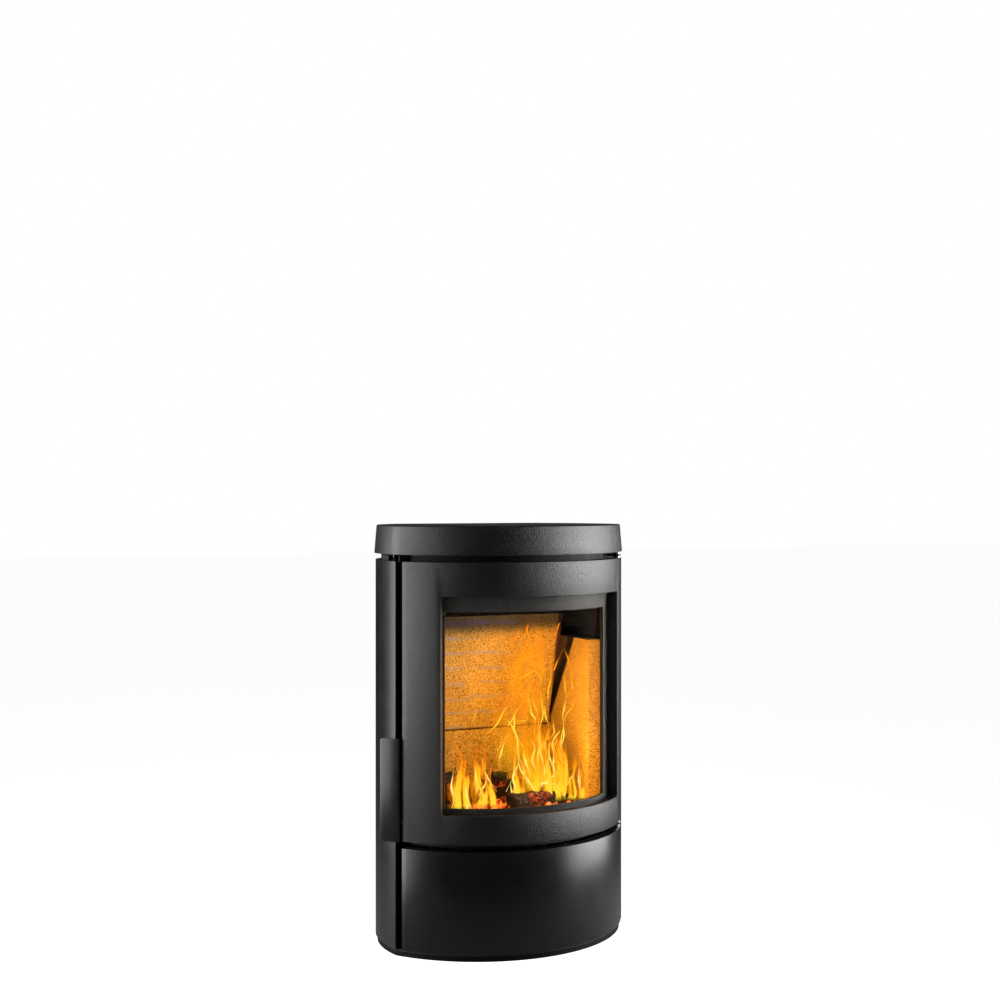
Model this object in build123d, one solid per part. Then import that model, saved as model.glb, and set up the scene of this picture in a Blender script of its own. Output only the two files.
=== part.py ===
from build123d import *
import math
import os

# Wall-hung wood stove with a curved front.
# The stove is drawn with its underside at height zero, X to the right as seen from the room,
# Y towards the wall, and the wall surface at Y = 0. Every part is written with the origin moved
# up to the middle of the four wall fixings.

# Driving sizes, in millimetres
front_radius = 275.0
front_centre_y = -92.0
half_front_width = 228.0
side_radius = 224.0
side_centre_x = 15.5
side_centre_y = -195.0
body_height = 707.0
top_plate_bottom = 719.0
total_height = 771.0
back_line_y = -32.0
top_back_y = -8.0
fixing_height = 470.0
fixing_spacing_x = 250.0
fixing_spacing_z = 380.0
flue_radius = 75.0
flue_height = 596.0
air_radius = 50.0
air_height = 110.0

# Sheet, plate and casting thicknesses
thin_sheet = 1.5
sheet = 2.0
lower_skin = 3.0
steel_plate = 4.0
casting_face = 5.5
casting_depth = 15.0
brick = 25.0
glass_thickness = 4.0

# Heights of the front, from the underside up
plinth_height = 9.0
base_top = 12.0
lower_front_bottom = base_top + 0.4
lower_front_top = 194.0
door_bottom = 206.0
door_top = body_height
window_bottom = 258.0
window_top = 645.5
window_left = -40.3
window_right = 46.0
plinth_inset = 3.6

# Firebox
box_half_width = 180.0
box_back_y = -80.0
box_floor = 206.0
box_top = 694.0
hearth_height = 238.0
frame_outer_radius = 247.0
plate_front_radius = 242.8
lining_half_width = 174.0
lining_face_x = 150.0
lining_face_y = -110.0
side_brick_top = 553.0
lining_joint = 376.0
lean_top_y = -190.0
lean_top_z = 600.0

# Door swing and handle
hinge_inset = 8.0
hinge_radius = 267.5
door_pin_radius = 4.0
running_gap = 0.05
turn_s = 3.8
turn_r = 270.5
handle_pin_radius = 2.0
handle_bottom = door_bottom
handle_top = 390.0

corner_angle = math.degrees(math.asin(half_front_width / front_radius))


def front_point(radius, angle):
    """A point in plan on a circle about the centre of the curved front; angle 0 faces the room."""
    turn = math.radians(angle)
    return (radius * math.sin(turn), front_centre_y - radius * math.cos(turn))


def front_y(radius, x):
    """How far forward a circle about the front's centre lies at a given x."""
    return front_centre_y - math.sqrt(radius**2 - x**2)


def arc_band(inner, outer, left, right, bottom, top):
    """A curved bar that follows the front, between two radii, two angles and two heights."""
    middle = (left + right) / 2
    outer_arc = ThreePointArc(
        front_point(outer, left), front_point(outer, middle), front_point(outer, right)
    )
    inner_arc = ThreePointArc(
        front_point(inner, right), front_point(inner, middle), front_point(inner, left)
    )
    ends = Line(outer_arc @ 1, inner_arc @ 0) + Line(inner_arc @ 1, outer_arc @ 0)
    profile = make_face(outer_arc + inner_arc + ends)
    return extrude(Pos(0, 0, bottom) * profile, top - bottom)


def curved_ring(inner, outer, edges, opening):
    """A curved bar with a rectangular opening; both are given as left, right, bottom, top."""
    ring = arc_band(inner, outer, *edges)
    return ring - arc_band(inner - 1, outer + 1, *opening)


def box_between(low, high):
    """A box from its lower to its upper corner."""
    size = [b - a for a, b in zip(low, high)]
    middle = [(a + b) / 2 for a, b in zip(low, high)]
    return Pos(*middle) * Box(*size)


def upright(x, y, bottom, top, radius):
    """A round bar standing on end."""
    return Pos(x, y, (bottom + top) / 2) * Cylinder(radius, top - bottom)


def along_y(x, z, front, back, radius):
    """A round bar lying along Y."""
    return Pos(x, (front + back) / 2, z) * Rot(90, 0, 0) * Cylinder(radius, back - front)


def side_point(inset, angle):
    """A point on the right flank of the body, pushed inwards by inset."""
    radius = side_radius - inset
    turn = math.radians(angle)
    return (side_centre_x + radius * math.cos(turn), side_centre_y + radius * math.sin(turn))


def side_angle_at(inset, y):
    """The angle on the flank at which it reaches a given depth."""
    return math.degrees(math.asin((y - side_centre_y) / (side_radius - inset)))


def front_corner(inset):
    """The right-hand plan corner, where the front's circle meets the flank's circle."""
    front_r = front_radius - inset
    side_r = side_radius - inset
    dx = side_centre_x
    dy = side_centre_y - front_centre_y
    gap = math.hypot(dx, dy)
    along = (gap**2 + front_r**2 - side_r**2) / (2 * gap)
    across = math.sqrt(front_r**2 - along**2)
    x = along * dx / gap - across * dy / gap
    y = front_centre_y + along * dy / gap + across * dx / gap
    return (x, y)


def plan_outline(inset, back_y, back_round=0.0):
    """The body's plan shape: curved front, two curved flanks and a flat back."""
    right = front_corner(inset)
    left = (-right[0], right[1])
    back_angle = side_angle_at(inset, back_y)
    corner_turn = math.degrees(math.atan2(right[1] - side_centre_y, right[0] - side_centre_x))
    flank_middle = side_point(inset, (back_angle + corner_turn) / 2)
    back_right = side_point(inset, back_angle)
    front = ThreePointArc(left, front_point(front_radius - inset, 0), right)
    flank = ThreePointArc(right, flank_middle, back_right)
    other = ThreePointArc((-back_right[0], back_y), (-flank_middle[0], flank_middle[1]), left)
    back = Line(back_right, (-back_right[0], back_y))
    outline = make_face(front + flank + back + other)
    if back_round:
        outline = fillet(outline.vertices().sort_by(Axis.Y)[-2:], back_round)
    return outline


def flank_strip(inset, thickness, start, end, bottom, top):
    """A curved strip of the right flank, between two angles."""
    middle = (start + end) / 2
    inner = inset + thickness
    outer_arc = ThreePointArc(
        side_point(inset, start), side_point(inset, middle), side_point(inset, end)
    )
    inner_arc = ThreePointArc(
        side_point(inner, end), side_point(inner, middle), side_point(inner, start)
    )
    ends = Line(outer_arc @ 1, inner_arc @ 0) + Line(inner_arc @ 1, outer_arc @ 0)
    profile = make_face(outer_arc + inner_arc + ends)
    return extrude(Pos(0, 0, bottom) * profile, top - bottom)


def mirrored(shape):
    """The same piece for the left-hand side."""
    return mirror(shape, about=Plane.YZ)


# Base: a shallow tray that shows as the recessed plinth, and the plate that lies on it
def make_plinth():
    outline = plan_outline(plinth_inset, back_line_y - sheet)
    tray = extrude(outline, plinth_height)
    hollow = extrude(Pos(0, 0, sheet) * offset(outline, -sheet), plinth_height)
    return tray - hollow


hinge_x, hinge_y = (
    front_point(hinge_radius, corner_angle)[0] - hinge_inset * math.cos(math.radians(corner_angle)),
    front_point(hinge_radius, corner_angle)[1] - hinge_inset * math.sin(math.radians(corner_angle)),
)


def make_base_plate():
    outline = plan_outline(plinth_inset, back_line_y - sheet)
    plate = extrude(Pos(0, 0, plinth_height) * outline, base_top - plinth_height)
    vents = [
        Pos(x, -70, base_top) * Box(28, 8, 20)
        for x in (-132, -96, 96, 132)
    ]
    return plate - vents


# Side panels: curved sheet with a return down the front edge and a ledge at top and bottom
panel_front_angle = -10.2
panel_return = 3.5
panel_ledge = 7.0


def make_side_panel():
    back_angle = side_angle_at(0, back_line_y)
    skin = flank_strip(0, sheet, panel_front_angle, back_angle, base_top, body_height)
    front_edge = flank_strip(
        0, panel_return, panel_front_angle, panel_front_angle + 0.5, base_top, body_height
    )
    bottom_ledge = flank_strip(
        0, panel_ledge, panel_front_angle, back_angle, base_top, base_top + sheet
    )
    top_ledge = flank_strip(
        0, panel_ledge, panel_front_angle, back_angle, body_height - sheet, body_height
    )
    back_x, back_y = side_point(0, back_angle)
    back_edge = box_between(
        (back_x - 12, back_y - sheet, base_top), (back_x - 1.6, back_y, body_height)
    )
    return skin + front_edge + bottom_ledge + top_ledge + back_edge


jacket_inset = 10.5
jacket_front_angle = 2.5
jacket_top = 716.0


def make_jacket():
    back_angle = side_angle_at(jacket_inset, back_line_y - sheet)
    skin = flank_strip(
        jacket_inset, thin_sheet, jacket_front_angle, back_angle, base_top, jacket_top
    )
    front_edge = flank_strip(
        jacket_inset, 8.0, jacket_front_angle, jacket_front_angle + 0.4, base_top, jacket_top
    )
    skin += flank_strip(
        jacket_inset - 1.5, 3.0, jacket_front_angle + 4, back_angle - 4, 330.0, 336.0
    )
    return skin + front_edge


# Hangers: strips at the firebox frame's ends that carry the side panels' front edges
def make_panel_hanger():
    ledge_underside = body_height - sheet
    strip = box_between((202, -231, 560), (226, -228, jacket_top))
    hook = box_between((222, -231, ledge_underside - 5), (229.5, -228, ledge_underside))
    foot = box_between((202, -231, 560), (206, -214, jacket_top))
    frame = arc_band(200, frame_outer_radius, 30, corner_angle, 500, 800)
    return strip + hook + foot - frame


# Back: a sheet with cut-outs for flue and air, vent slots above, and the bar it hangs from
back_half_width = 153.0


def make_back_panel():
    panel = box_between(
        (-back_half_width, back_line_y - sheet, base_top),
        (back_half_width, back_line_y, top_plate_bottom),
    )
    flue_hole = along_y(0, flue_height, back_line_y - 10, back_line_y + 10, flue_radius + 6)
    air_hole = along_y(0, air_height, back_line_y - 10, back_line_y + 10, air_radius + 1)
    panel -= flue_hole + air_hole
    slots = [
        Pos(x, back_line_y, z) * Box(60, 20, 8)
        for x in (-100, 100)
        for z in (190, 206, 222, 400, 416, 432)
    ]
    return panel - slots


bar_bottom = 676.0
rail_top = 704.0
lip_y = -17.0
lip_drop = 20.0


def make_hanging_bar():
    """A folded bar on the back panel whose lip drops into the wall bracket's notches."""
    flange = box_between((-150, back_line_y, bar_bottom), (150, back_line_y + 3, rail_top + 3))
    shelf = box_between((-150, back_line_y, rail_top), (150, lip_y + 3, rail_top + 3))
    lip = box_between((-150, lip_y, rail_top - lip_drop), (150, lip_y + 3, rail_top + 3))
    return flange + shelf + lip


# Wall bracket: two channels with notches, joined by cross straps that lie on the wall
rail_half = 14.0
rail_depth = 28.5
rail_bottom = fixing_height - fixing_spacing_z / 2 - 40
fixing_hole_radius = 5.25


def make_wall_bracket():
    bracket = []
    for side in (-1, 1):
        x = side * fixing_spacing_x / 2
        web = box_between((x - rail_half, -3, rail_bottom), (x + rail_half, 0, rail_top))
        for edge in (-1, 1):
            inner = x + edge * rail_half
            cheek = box_between(
                (min(inner, inner - edge * 3), -rail_depth, rail_bottom),
                (max(inner, inner - edge * 3), -3, rail_top),
            )
            notch = box_between(
                (inner - 5, lip_y - 0.6, rail_top - lip_drop - 0.5),
                (inner + 5, lip_y + 3.6, rail_top + 1),
            )
            web += cheek - notch
        bracket.append(web)
    straps = []
    for height in (fixing_height - 150, fixing_height - 10):
        straps.append(box_between((-112, -3, height), (112, 0, height + 30)))
    body = bracket[0] + bracket[1] + straps
    holes = [
        along_y(x, z, -10, 10, fixing_hole_radius)
        for x in (-fixing_spacing_x / 2, fixing_spacing_x / 2)
        for z in (fixing_height - fixing_spacing_z / 2, fixing_height + fixing_spacing_z / 2)
    ]
    return body - holes


# Two pads at the bottom of the back keep the stove plumb against the bracket
def make_spacer_pads():
    pads = []
    for x in (-fixing_spacing_x / 2, fixing_spacing_x / 2):
        stem = box_between((x - 4, back_line_y, 296), (x + 4, -21, 304))
        pad = box_between((x - 9, -21, 291), (x + 9, -3, 309))
        pads.append(stem + pad)
    return pads


# Firebox: flat plates behind a rolled front frame
def front_filled_plate(bottom, top, half_width, front_r):
    """A horizontal plate whose front edge follows the front frame."""
    back = box_back_y - steel_plate
    left = (-half_width, front_y(front_r, half_width))
    right = (half_width, left[1])
    front = ThreePointArc(left, (0, front_centre_y - front_r), right)
    rest = Polyline(right, (half_width, back), (-half_width, back), left)
    return extrude(Pos(0, 0, bottom) * make_face(front + rest), top - bottom)


def make_firebox_side():
    return box_between(
        (box_half_width - steel_plate, -255.0, box_floor), (box_half_width, -84.0, box_top)
    )


def make_firebox_back():
    plate = box_between(
        (-box_half_width, box_back_y - steel_plate, box_floor), (box_half_width, box_back_y, box_top)
    )
    return plate - along_y(0, flue_height, box_back_y - 10, box_back_y + 10, flue_radius - 2)


grate_half_x = 78.0
grate_front = -226.0
grate_back = -136.0


def make_firebox_floor():
    inner = box_half_width - steel_plate
    plate = front_filled_plate(box_floor, box_floor + steel_plate, inner, plate_front_radius)
    ash_hole = box_between(
        (-grate_half_x + 6, grate_front + 6, box_floor - 1),
        (grate_half_x - 6, grate_back - 6, box_floor + 10),
    )
    ports = [
        Pos(x, port_y, box_floor) * Box(14, 10, 20)
        for x in port_places
    ]
    return plate - ash_hole - ports


outlet_y = -170.0


def make_firebox_top():
    inner = box_half_width - steel_plate
    plate = front_filled_plate(box_top - steel_plate, box_top, inner, plate_front_radius)
    return plate - upright(0, outlet_y, box_top - 10, box_top + 10, flue_radius - 2)


def make_outlet_cover():
    disc = upright(0, outlet_y, box_top, box_top + 4, flue_radius + 14)
    grip = box_between((-30, outlet_y - 4, box_top + 4), (30, outlet_y + 4, box_top + 14))
    return disc + grip


frame_edges = (-corner_angle, corner_angle, 196.0, top_plate_bottom)
frame_opening_angle = 44.4


def make_front_frame():
    frame = curved_ring(
        frame_outer_radius - steel_plate,
        frame_outer_radius,
        frame_edges,
        (-frame_opening_angle, frame_opening_angle, 240.0, 640.0),
    )
    slot_length = 5.0
    for step in range(-4, 5):
        middle = step * 9.2
        frame -= arc_band(
            frame_outer_radius - 10,
            frame_outer_radius + 10,
            middle - slot_length / 2,
            middle + slot_length / 2,
            666.0,
            671.0,
        )
    return frame


# Lining: loose slabs of vermiculite
def make_side_brick():
    slab = box_between(
        (lining_face_x, -258, box_floor + steel_plate),
        (lining_face_x + brick, lining_face_y - 1, side_brick_top),
    )
    top_back = slab.edges().filter_by(Axis.X).sort_by(lambda e: e.center().Z - e.center().Y)
    return chamfer(top_back[0], 6)


def make_lower_back_brick():
    return box_between(
        (-lining_half_width, lining_face_y, box_floor + steel_plate),
        (lining_half_width, lining_face_y + brick, lining_joint),
    )


lean_thickness = 22.0
lean_foot_y = lining_face_y
lean_foot_width = 284.0
lean_head_width = 268.0
lean_foot_z = lining_joint
lean = math.atan2(lean_top_y - lean_foot_y, lean_top_z - lean_foot_z)


def make_upper_back_brick():
    length = math.hypot(lean_top_y - lean_foot_y, lean_top_z - lean_foot_z)
    foot = lean_foot_width / 2
    head = lean_head_width / 2
    outline = Polyline((-foot, 0), (foot, 0), (head, length), (-head, length), (-foot, 0))
    slab = Pos(0, lean_thickness, 0) * Rot(90, 0, 0) * extrude(make_face(outline), lean_thickness)
    tilt = Pos(0, lean_foot_y, lean_foot_z) * Rot(-math.degrees(lean), 0, 0)
    return tilt * slab


baffle_bottom = lean_top_z - lean_thickness * math.sin(lean)


def make_baffle():
    front = -250.0
    plate = box_between(
        (-lining_half_width, front, baffle_bottom), (lining_half_width, -150, baffle_bottom + brick)
    )
    nose = plate.edges().filter_by(Axis.X).sort_by(lambda e: e.center().Y + e.center().Z / 10)
    return chamfer(nose[0], 8)


def make_baffle_ledge():
    """An angle on the firebox wall, with a tab that keeps the leaning slab from falling forward."""
    wall_x = box_half_width - steel_plate
    shelf = box_between((158, -240, baffle_bottom - 3), (wall_x, -152, baffle_bottom))
    wall = box_between((wall_x - 3, -240, baffle_bottom - 34), (wall_x, -152, baffle_bottom - 3))
    tab_z = baffle_bottom - 30
    tab_y = lean_foot_y - (tab_z - lean_foot_z) * math.tan(-lean) - 3.5
    tab = box_between((130, tab_y - 3, tab_z - 2), (wall_x, tab_y, tab_z + 8))
    return shelf + wall + tab


def make_base_bricks():
    bottom = box_floor + steel_plate
    back = lining_face_y - 0.5
    bricks = []
    for side in (-1, 1):
        inner = side * (grate_half_x + 0.5)
        outer = side * (lining_face_x - 0.5)
        bricks.append(
            box_between((min(inner, outer), -256, bottom), (max(inner, outer), back, hearth_height))
        )
    width = grate_half_x
    bricks.append(box_between((-width, grate_back + 0.5, bottom), (width, back, hearth_height)))
    bricks.append(box_between((-width, -300, bottom), (width, grate_front - 0.5, hearth_height)))
    return bricks


# Grate: cast plate with long slots on four short feet
def make_grate():
    middle_y = (grate_front + grate_back) / 2
    depth = grate_back - grate_front
    plate = Pos(0, middle_y, hearth_height - 6) * Box(2 * grate_half_x, depth, 12)
    plate = fillet(plate.edges().filter_by(Axis.Z), 5)
    slots = [
        Pos(x, y, hearth_height) * Box(62, 7, 60)
        for x in (-36, 36)
        for y in (middle_y - 30, middle_y - 15, middle_y, middle_y + 15, middle_y + 30)
    ]
    feet = [
        Pos(x, y, (box_floor + steel_plate + hearth_height - 12) / 2)
        * Box(5, 5, hearth_height - 12 - box_floor - steel_plate)
        for x in (-75.2, 75.2)
        for y in (grate_front + 3, grate_back - 3)
    ]
    return plate - slots + feet


# Riddling: a toothed plate under the grate, pushed by a rod with a knob
riddle_front = -214.0
riddle_back = -150.0
rod_x = 40.0
rod_z = 188.0


def make_riddle_plate():
    plate = box_between((-66, riddle_front, 199.0), (66, riddle_back, 203.0))
    slots = [
        Pos(x, y, 200) * Box(54, 7, 20)
        for x in (-33, 33)
        for y in (riddle_front + 10, riddle_front + 25, riddle_front + 40)
    ]
    lug = box_between((rod_x - 6, -196, 182), (rod_x + 6, -188, 199))
    return plate - slots + lug


def make_riddle_rod():
    return along_y(rod_x, rod_z, -262, -196, 4)


knob_sides = 16


def make_riddle_knob():
    """A faceted knob with a neck, screwed on the rod's end."""
    neck = extrude(RegularPolygon(5.5, knob_sides), 12)
    grip = extrude(Pos(0, 0, 12) * RegularPolygon(9, knob_sides), 12)
    return Pos(rod_x, -262, rod_z) * Rot(90, 0, 0) * (neck + grip)


def make_riddle_guides():
    guides = []
    for side in (-1, 1):
        inner = side * 60.0
        outer = side * 71.0
        low, high = min(inner, outer), max(inner, outer)
        shelf = box_between((low, -250, 196.0), (high, -146, 198.6))
        edge = side * 68.0
        wall = box_between((min(edge, outer), -250, 198.6), (max(edge, outer), -146, box_floor))
        guides.append(shelf + wall)
    return guides


# Air control: a ported slide under the floor, with a lever and knob behind the lower front
port_y = -244.0
port_places = (-146, -122, -98)


def make_air_slide():
    plate = box_between((-158, -254, 202.4), (-90, -234, 205.6))
    ports = [
        Pos(x, port_y, 204) * Box(13, 9, 20)
        for x in port_places
    ]
    lever = box_between((-126, -272, 180), (-120, -254, 183)) + box_between(
        (-126, -254, 180), (-120, -251, 202.4)
    )
    return plate - ports + lever


def make_air_knob():
    knob = extrude(RegularPolygon(7, knob_sides), 14)
    knob = chamfer(knob.faces().sort_by(Axis.Z)[-1].edges(), 1.5)
    return Pos(-123, -272, 181.5) * Rot(90, 0, 0) * knob


def make_air_guides():
    front = box_between((-170, -257.6, 199.4), (-52, -254.4, box_floor)) + box_between(
        (-170, -257.6, 199.4), (-131, -248, 202.0)
    )
    back = box_between((-170, -233.6, 199.4), (-72, -230.6, box_floor)) + box_between(
        (-170, -239, 199.4), (-72, -233.6, 202.0)
    )
    return [front, back]


# Ash: a folded housing under the floor and a pan that slides out of it
pan_half = 105.0
pan_front = -292.0
pan_back = -112.0
pan_bottom = 94.0
pan_top = 172.0


def make_ash_housing():
    wall = 2.0
    low = pan_bottom - 1 - wall
    front = -228.0
    outside = box_between((-pan_half - 5, front, low), (pan_half + 5, pan_back + 7, box_floor))
    inside = box_between(
        (-pan_half - 3, front - 10, low + wall), (pan_half + 3, pan_back + 5, box_floor + 1)
    )
    shell = outside - inside
    for side in (-1, 1):
        edge = side * (pan_half + 5)
        far = side * (pan_half + 18)
        flange = box_between(
            (min(edge, far), front, box_floor - wall), (max(edge, far), pan_back + 7, box_floor)
        )
        shell += flange
    legs = [
        box_between((x - 8, y - 8, base_top), (x + 8, y + 8, low))
        for x in (-90, 90)
        for y in (front + 10, -125)
    ]
    return shell + legs


def make_ash_pan():
    wall = 1.5
    outer = box_between((-pan_half, pan_front, pan_bottom), (pan_half, pan_back, pan_top))
    outer = fillet(outer.edges().filter_by(Axis.Z), 8)
    inner = box_between(
        (-pan_half + wall, pan_front + wall, pan_bottom + wall),
        (pan_half - wall, pan_back - wall, pan_top + 5),
    )
    inner = fillet(inner.edges().filter_by(Axis.Z), 8 - wall)
    return outer - inner


def make_ash_pan_handle():
    """A bent strap whose feet lie on the pan's front."""
    reach = 20.0
    outline = Polyline(
        (-44, 0), (-32, 0), (-26, reach - 3), (26, reach - 3), (32, 0), (44, 0),
        (44, 3), (34.5, 3), (28, reach), (-28, reach), (-34.5, 3), (-44, 3), (-44, 0)
    )
    strap = extrude(make_face(outline), 14)
    return Pos(0, pan_front, 140) * Rot(0, 0, 180) * strap


# Flue collar, air spigot and the duct behind the ash housing
def make_flue_collar():
    wall = 3.0
    tube = along_y(0, flue_height, box_back_y, -4, flue_radius)
    bore = along_y(0, flue_height, box_back_y - 10, 10, flue_radius - wall)
    return tube - bore


def make_air_spigot():
    wall = 2.0
    tube = along_y(0, air_height, back_line_y - 24, -4, air_radius)
    bore = along_y(0, air_height, -90, 10, air_radius - wall)
    return tube - bore


def make_air_duct():
    wall = 2.0
    low = base_top
    outer = box_between((-70, -98, low), (70, -40, 190))
    inner = box_between((-70 + wall, -98 + wall, low + wall), (70 - wall, -40 - wall, 200))
    hole = along_y(0, air_height, -50, -30, air_radius + 0.5)
    return outer - inner - hole


# Top plate: heavy casting, hollow below, with ribs that rest on the frame and the back panel
lower_overhang = 2.4
upper_inset = 1.8
top_wall = 8.0


def make_top_plate():
    height = total_height - top_plate_bottom
    taper = math.degrees(math.atan((lower_overhang + upper_inset) / height))
    outline = plan_outline(-lower_overhang, top_back_y, back_round=40)
    block = extrude(Pos(0, 0, top_plate_bottom) * outline, height, taper=taper)
    top_rim = block.faces().sort_by(Axis.Z)[-1].edges()
    block = chamfer(top_rim, 1.6)
    cavity_outline = plan_outline(-lower_overhang + top_wall, top_back_y - top_wall, back_round=34)
    cavity = extrude(Pos(0, 0, top_plate_bottom) * cavity_outline, height - top_wall, taper=taper)
    ribs = []
    rib_half = 3.0
    for x in (-120, -40, 40, 120):
        front = front_y(front_radius - 4, abs(x) + rib_half)
        ribs.append(
            box_between(
                (x - rib_half, front, top_plate_bottom),
                (x + rib_half, top_back_y - 4, total_height - top_wall),
            )
        )
    return block - cavity + ribs


# Hinges: lugs on the frame, pins in them, and washers that the doors turn on
def make_hinge_bracket(bottom, thickness):
    turn = math.radians(corner_angle)
    nose = Pos(hinge_x, hinge_y, bottom + thickness / 2) * Cylinder(8, thickness)
    foot = arc_band(frame_outer_radius, frame_outer_radius + 3, 48, 54.6, bottom, bottom + thickness)
    arm_length = hinge_radius - frame_outer_radius
    arm = Box(12, arm_length, thickness)
    arm = Rot(0, 0, math.degrees(turn)) * arm
    middle_x = hinge_x - arm_length / 2 * math.sin(turn)
    middle_y = hinge_y + arm_length / 2 * math.cos(turn)
    arm = Pos(middle_x, middle_y, bottom + thickness / 2) * arm
    arm -= arc_band(200, frame_outer_radius, 30, 80, bottom - 1, bottom + thickness + 1)
    hole = upright(hinge_x, hinge_y, bottom - 1, bottom + thickness + 1, door_pin_radius)
    return nose + foot + arm - hole


top_lug = 710.0
middle_lug = 198.0
lug_thickness = 4.0
pin_depth = 16.0


def make_top_pin():
    pin = upright(hinge_x, hinge_y, door_top - pin_depth, top_lug + lug_thickness, door_pin_radius)
    head = upright(hinge_x, hinge_y, top_lug + lug_thickness, top_lug + lug_thickness + 3, 6.5)
    return pin + head


def make_middle_pin():
    return upright(
        hinge_x, hinge_y, lower_front_top - pin_depth, door_bottom + pin_depth, door_pin_radius
    )


def make_lower_pin():
    return upright(hinge_x, hinge_y, base_top, base_top + pin_depth, door_pin_radius)


def make_hinge_washers():
    door_washer = upright(hinge_x, hinge_y, middle_lug + lug_thickness, door_bottom - 0.3, 7.0)
    front_washer = upright(hinge_x, hinge_y, lower_front_top + 0.3, middle_lug, 7.0)
    top_washer = upright(hinge_x, hinge_y, door_top + 0.3, top_lug, 7.0)
    hole = upright(hinge_x, hinge_y, 0, total_height, door_pin_radius)
    return [washer - hole for washer in (top_washer, door_washer, front_washer)]


def pin_socket(bottom, top):
    """The bore that a hinge pin runs in."""
    return upright(hinge_x, hinge_y, bottom, top, door_pin_radius + running_gap)


# Door: a cast frame with a rim all round, a rim round the window, and ribs behind the face
rim = 6.0
window_rim_angle = 1.4
rim_angle = 1.35
door_back = front_radius - casting_depth
pocket_floor = front_radius - casting_face


def make_door_casting():
    door = arc_band(door_back, front_radius, -corner_angle, corner_angle, door_bottom, door_top)
    door = chamfer(door.edges().filter_by(is_front_edge), 0.9)
    window = arc_band(
        door_back - 5, front_radius + 5, window_left, window_right, window_bottom, window_top
    )
    corners = window.edges().filter_by(is_radial)
    window = fillet(corners, 4.5)
    door -= window
    left_outer = -corner_angle + rim_angle
    right_outer = corner_angle - rim_angle
    left_inner = window_left - window_rim_angle
    right_inner = window_right + window_rim_angle
    for bottom, top in spans(door_bottom + 24, door_top - 24, 3, rim):
        door -= arc_band(door_back - 1, pocket_floor, left_outer, left_inner, bottom, top)
        door -= arc_band(door_back - 1, pocket_floor, right_inner, right_outer, bottom, top)
    for left, right in spans(window_left + 1.5, window_right - 1.5, 2, rim_angle):
        door -= arc_band(
            door_back - 1, pocket_floor, left, right, door_bottom + rim, window_bottom - rim
        )
        door -= arc_band(
            door_back - 1, pocket_floor, left, right, window_top + rim, door_top - rim
        )
    door -= pin_socket(door_bottom - 1, door_bottom + pin_depth + 1)
    door -= pin_socket(door_top - pin_depth - 1, door_top + 1)
    return door


def spans(start, end, count, gap):
    """Splits a stretch into equal spans with a gap between neighbours."""
    length = (end - start - gap * (count - 1)) / count
    return [
        (start + i * (length + gap), start + i * (length + gap) + length)
        for i in range(count)
    ]


def is_front_edge(edge):
    """True for an edge that lies wholly on the outer face of the front."""
    for place in (0, 0.5, 1):
        point = edge @ place
        if abs(math.hypot(point.X, point.Y - front_centre_y) - front_radius) > 0.01:
            return False
    return True


def is_radial(edge):
    """True for a short straight edge that points at the centre of the front."""
    start = edge @ 0
    end = edge @ 1
    return abs(start.Z - end.Z) < 0.01 and edge.geom_type == GeomType.LINE


glass_outer = door_back - 1.4
glass_inner = glass_outer - glass_thickness
glass_edges = (window_left - 2.0, window_right + 2.0, window_bottom - 8.0, window_top + 8.0)


def make_glass():
    return arc_band(glass_inner, glass_outer, *glass_edges)


def make_glass_seal():
    opening = (
        window_left - 0.3, window_right + 0.3, window_bottom - 1.4, window_top + 1.4
    )
    return curved_ring(glass_outer, door_back, glass_edges, opening)


clamp_inner = glass_inner - 4.5
clamp_edges = (-44.6, 50.2, 244.0, 661.0)
clamp_opening = (-37.6, 40.2, 267.0, 617.0)


def make_glass_frame():
    ring = curved_ring(clamp_inner, glass_inner, clamp_edges, clamp_opening)
    lip_inner = (
        glass_edges[0] - 0.2, glass_edges[1] + 0.2, glass_edges[2] - 1, glass_edges[3] + 1
    )
    return ring + curved_ring(glass_inner, door_back, clamp_edges, lip_inner)


def make_glass_screws():
    screws = []
    left = (clamp_edges[0] + glass_edges[0]) / 2 - 0.1
    right = (clamp_edges[1] + glass_edges[1]) / 2 + 0.1
    for angle in (left, right):
        for height in (300.0, 452.0, 600.0):
            x, y = front_point(clamp_inner, angle)
            head = Pos(0, 0, -0.8) * extrude(RegularPolygon(3.0, 6), 1.6)
            turn = Rot(0, 0, angle) * Rot(90, 0, 0)
            screws.append(Pos(x, y, height) * turn * Pos(0, 0, -0.83) * head)
    return screws


seal_outer_edges = (-54.4, 54.4, 209.0, 704.0)
seal_inner_edges = (-51.4, 51.4, 223.0, 690.0)


def make_door_seal():
    return curved_ring(frame_outer_radius + 0.3, door_back, seal_outer_edges, seal_inner_edges)


# Handle: a curved blade beside the door, turning on a pin at the door's left edge.
# Its plan is drawn in a local frame: s runs outwards past the door's end, r away from the
# centre of the curved front.
blade_thickness = 3.0
knuckle_bottom = 249.0
knuckle_top = 356.0
knuckle_radius = 3.4
latch_heights = (262.0, 337.0)
latch_plate = 6.0


def at_door_end(shape):
    """Moves a shape drawn in the door end's local frame into place."""
    return Pos(0, front_centre_y, 0) * Rot(0, 0, 180 - corner_angle) * shape


def local_box(s_low, s_high, r_low, r_high, bottom, top):
    """A box in the door end's local frame."""
    return box_between((s_low, r_low, bottom), (s_high, r_high, top))


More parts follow.
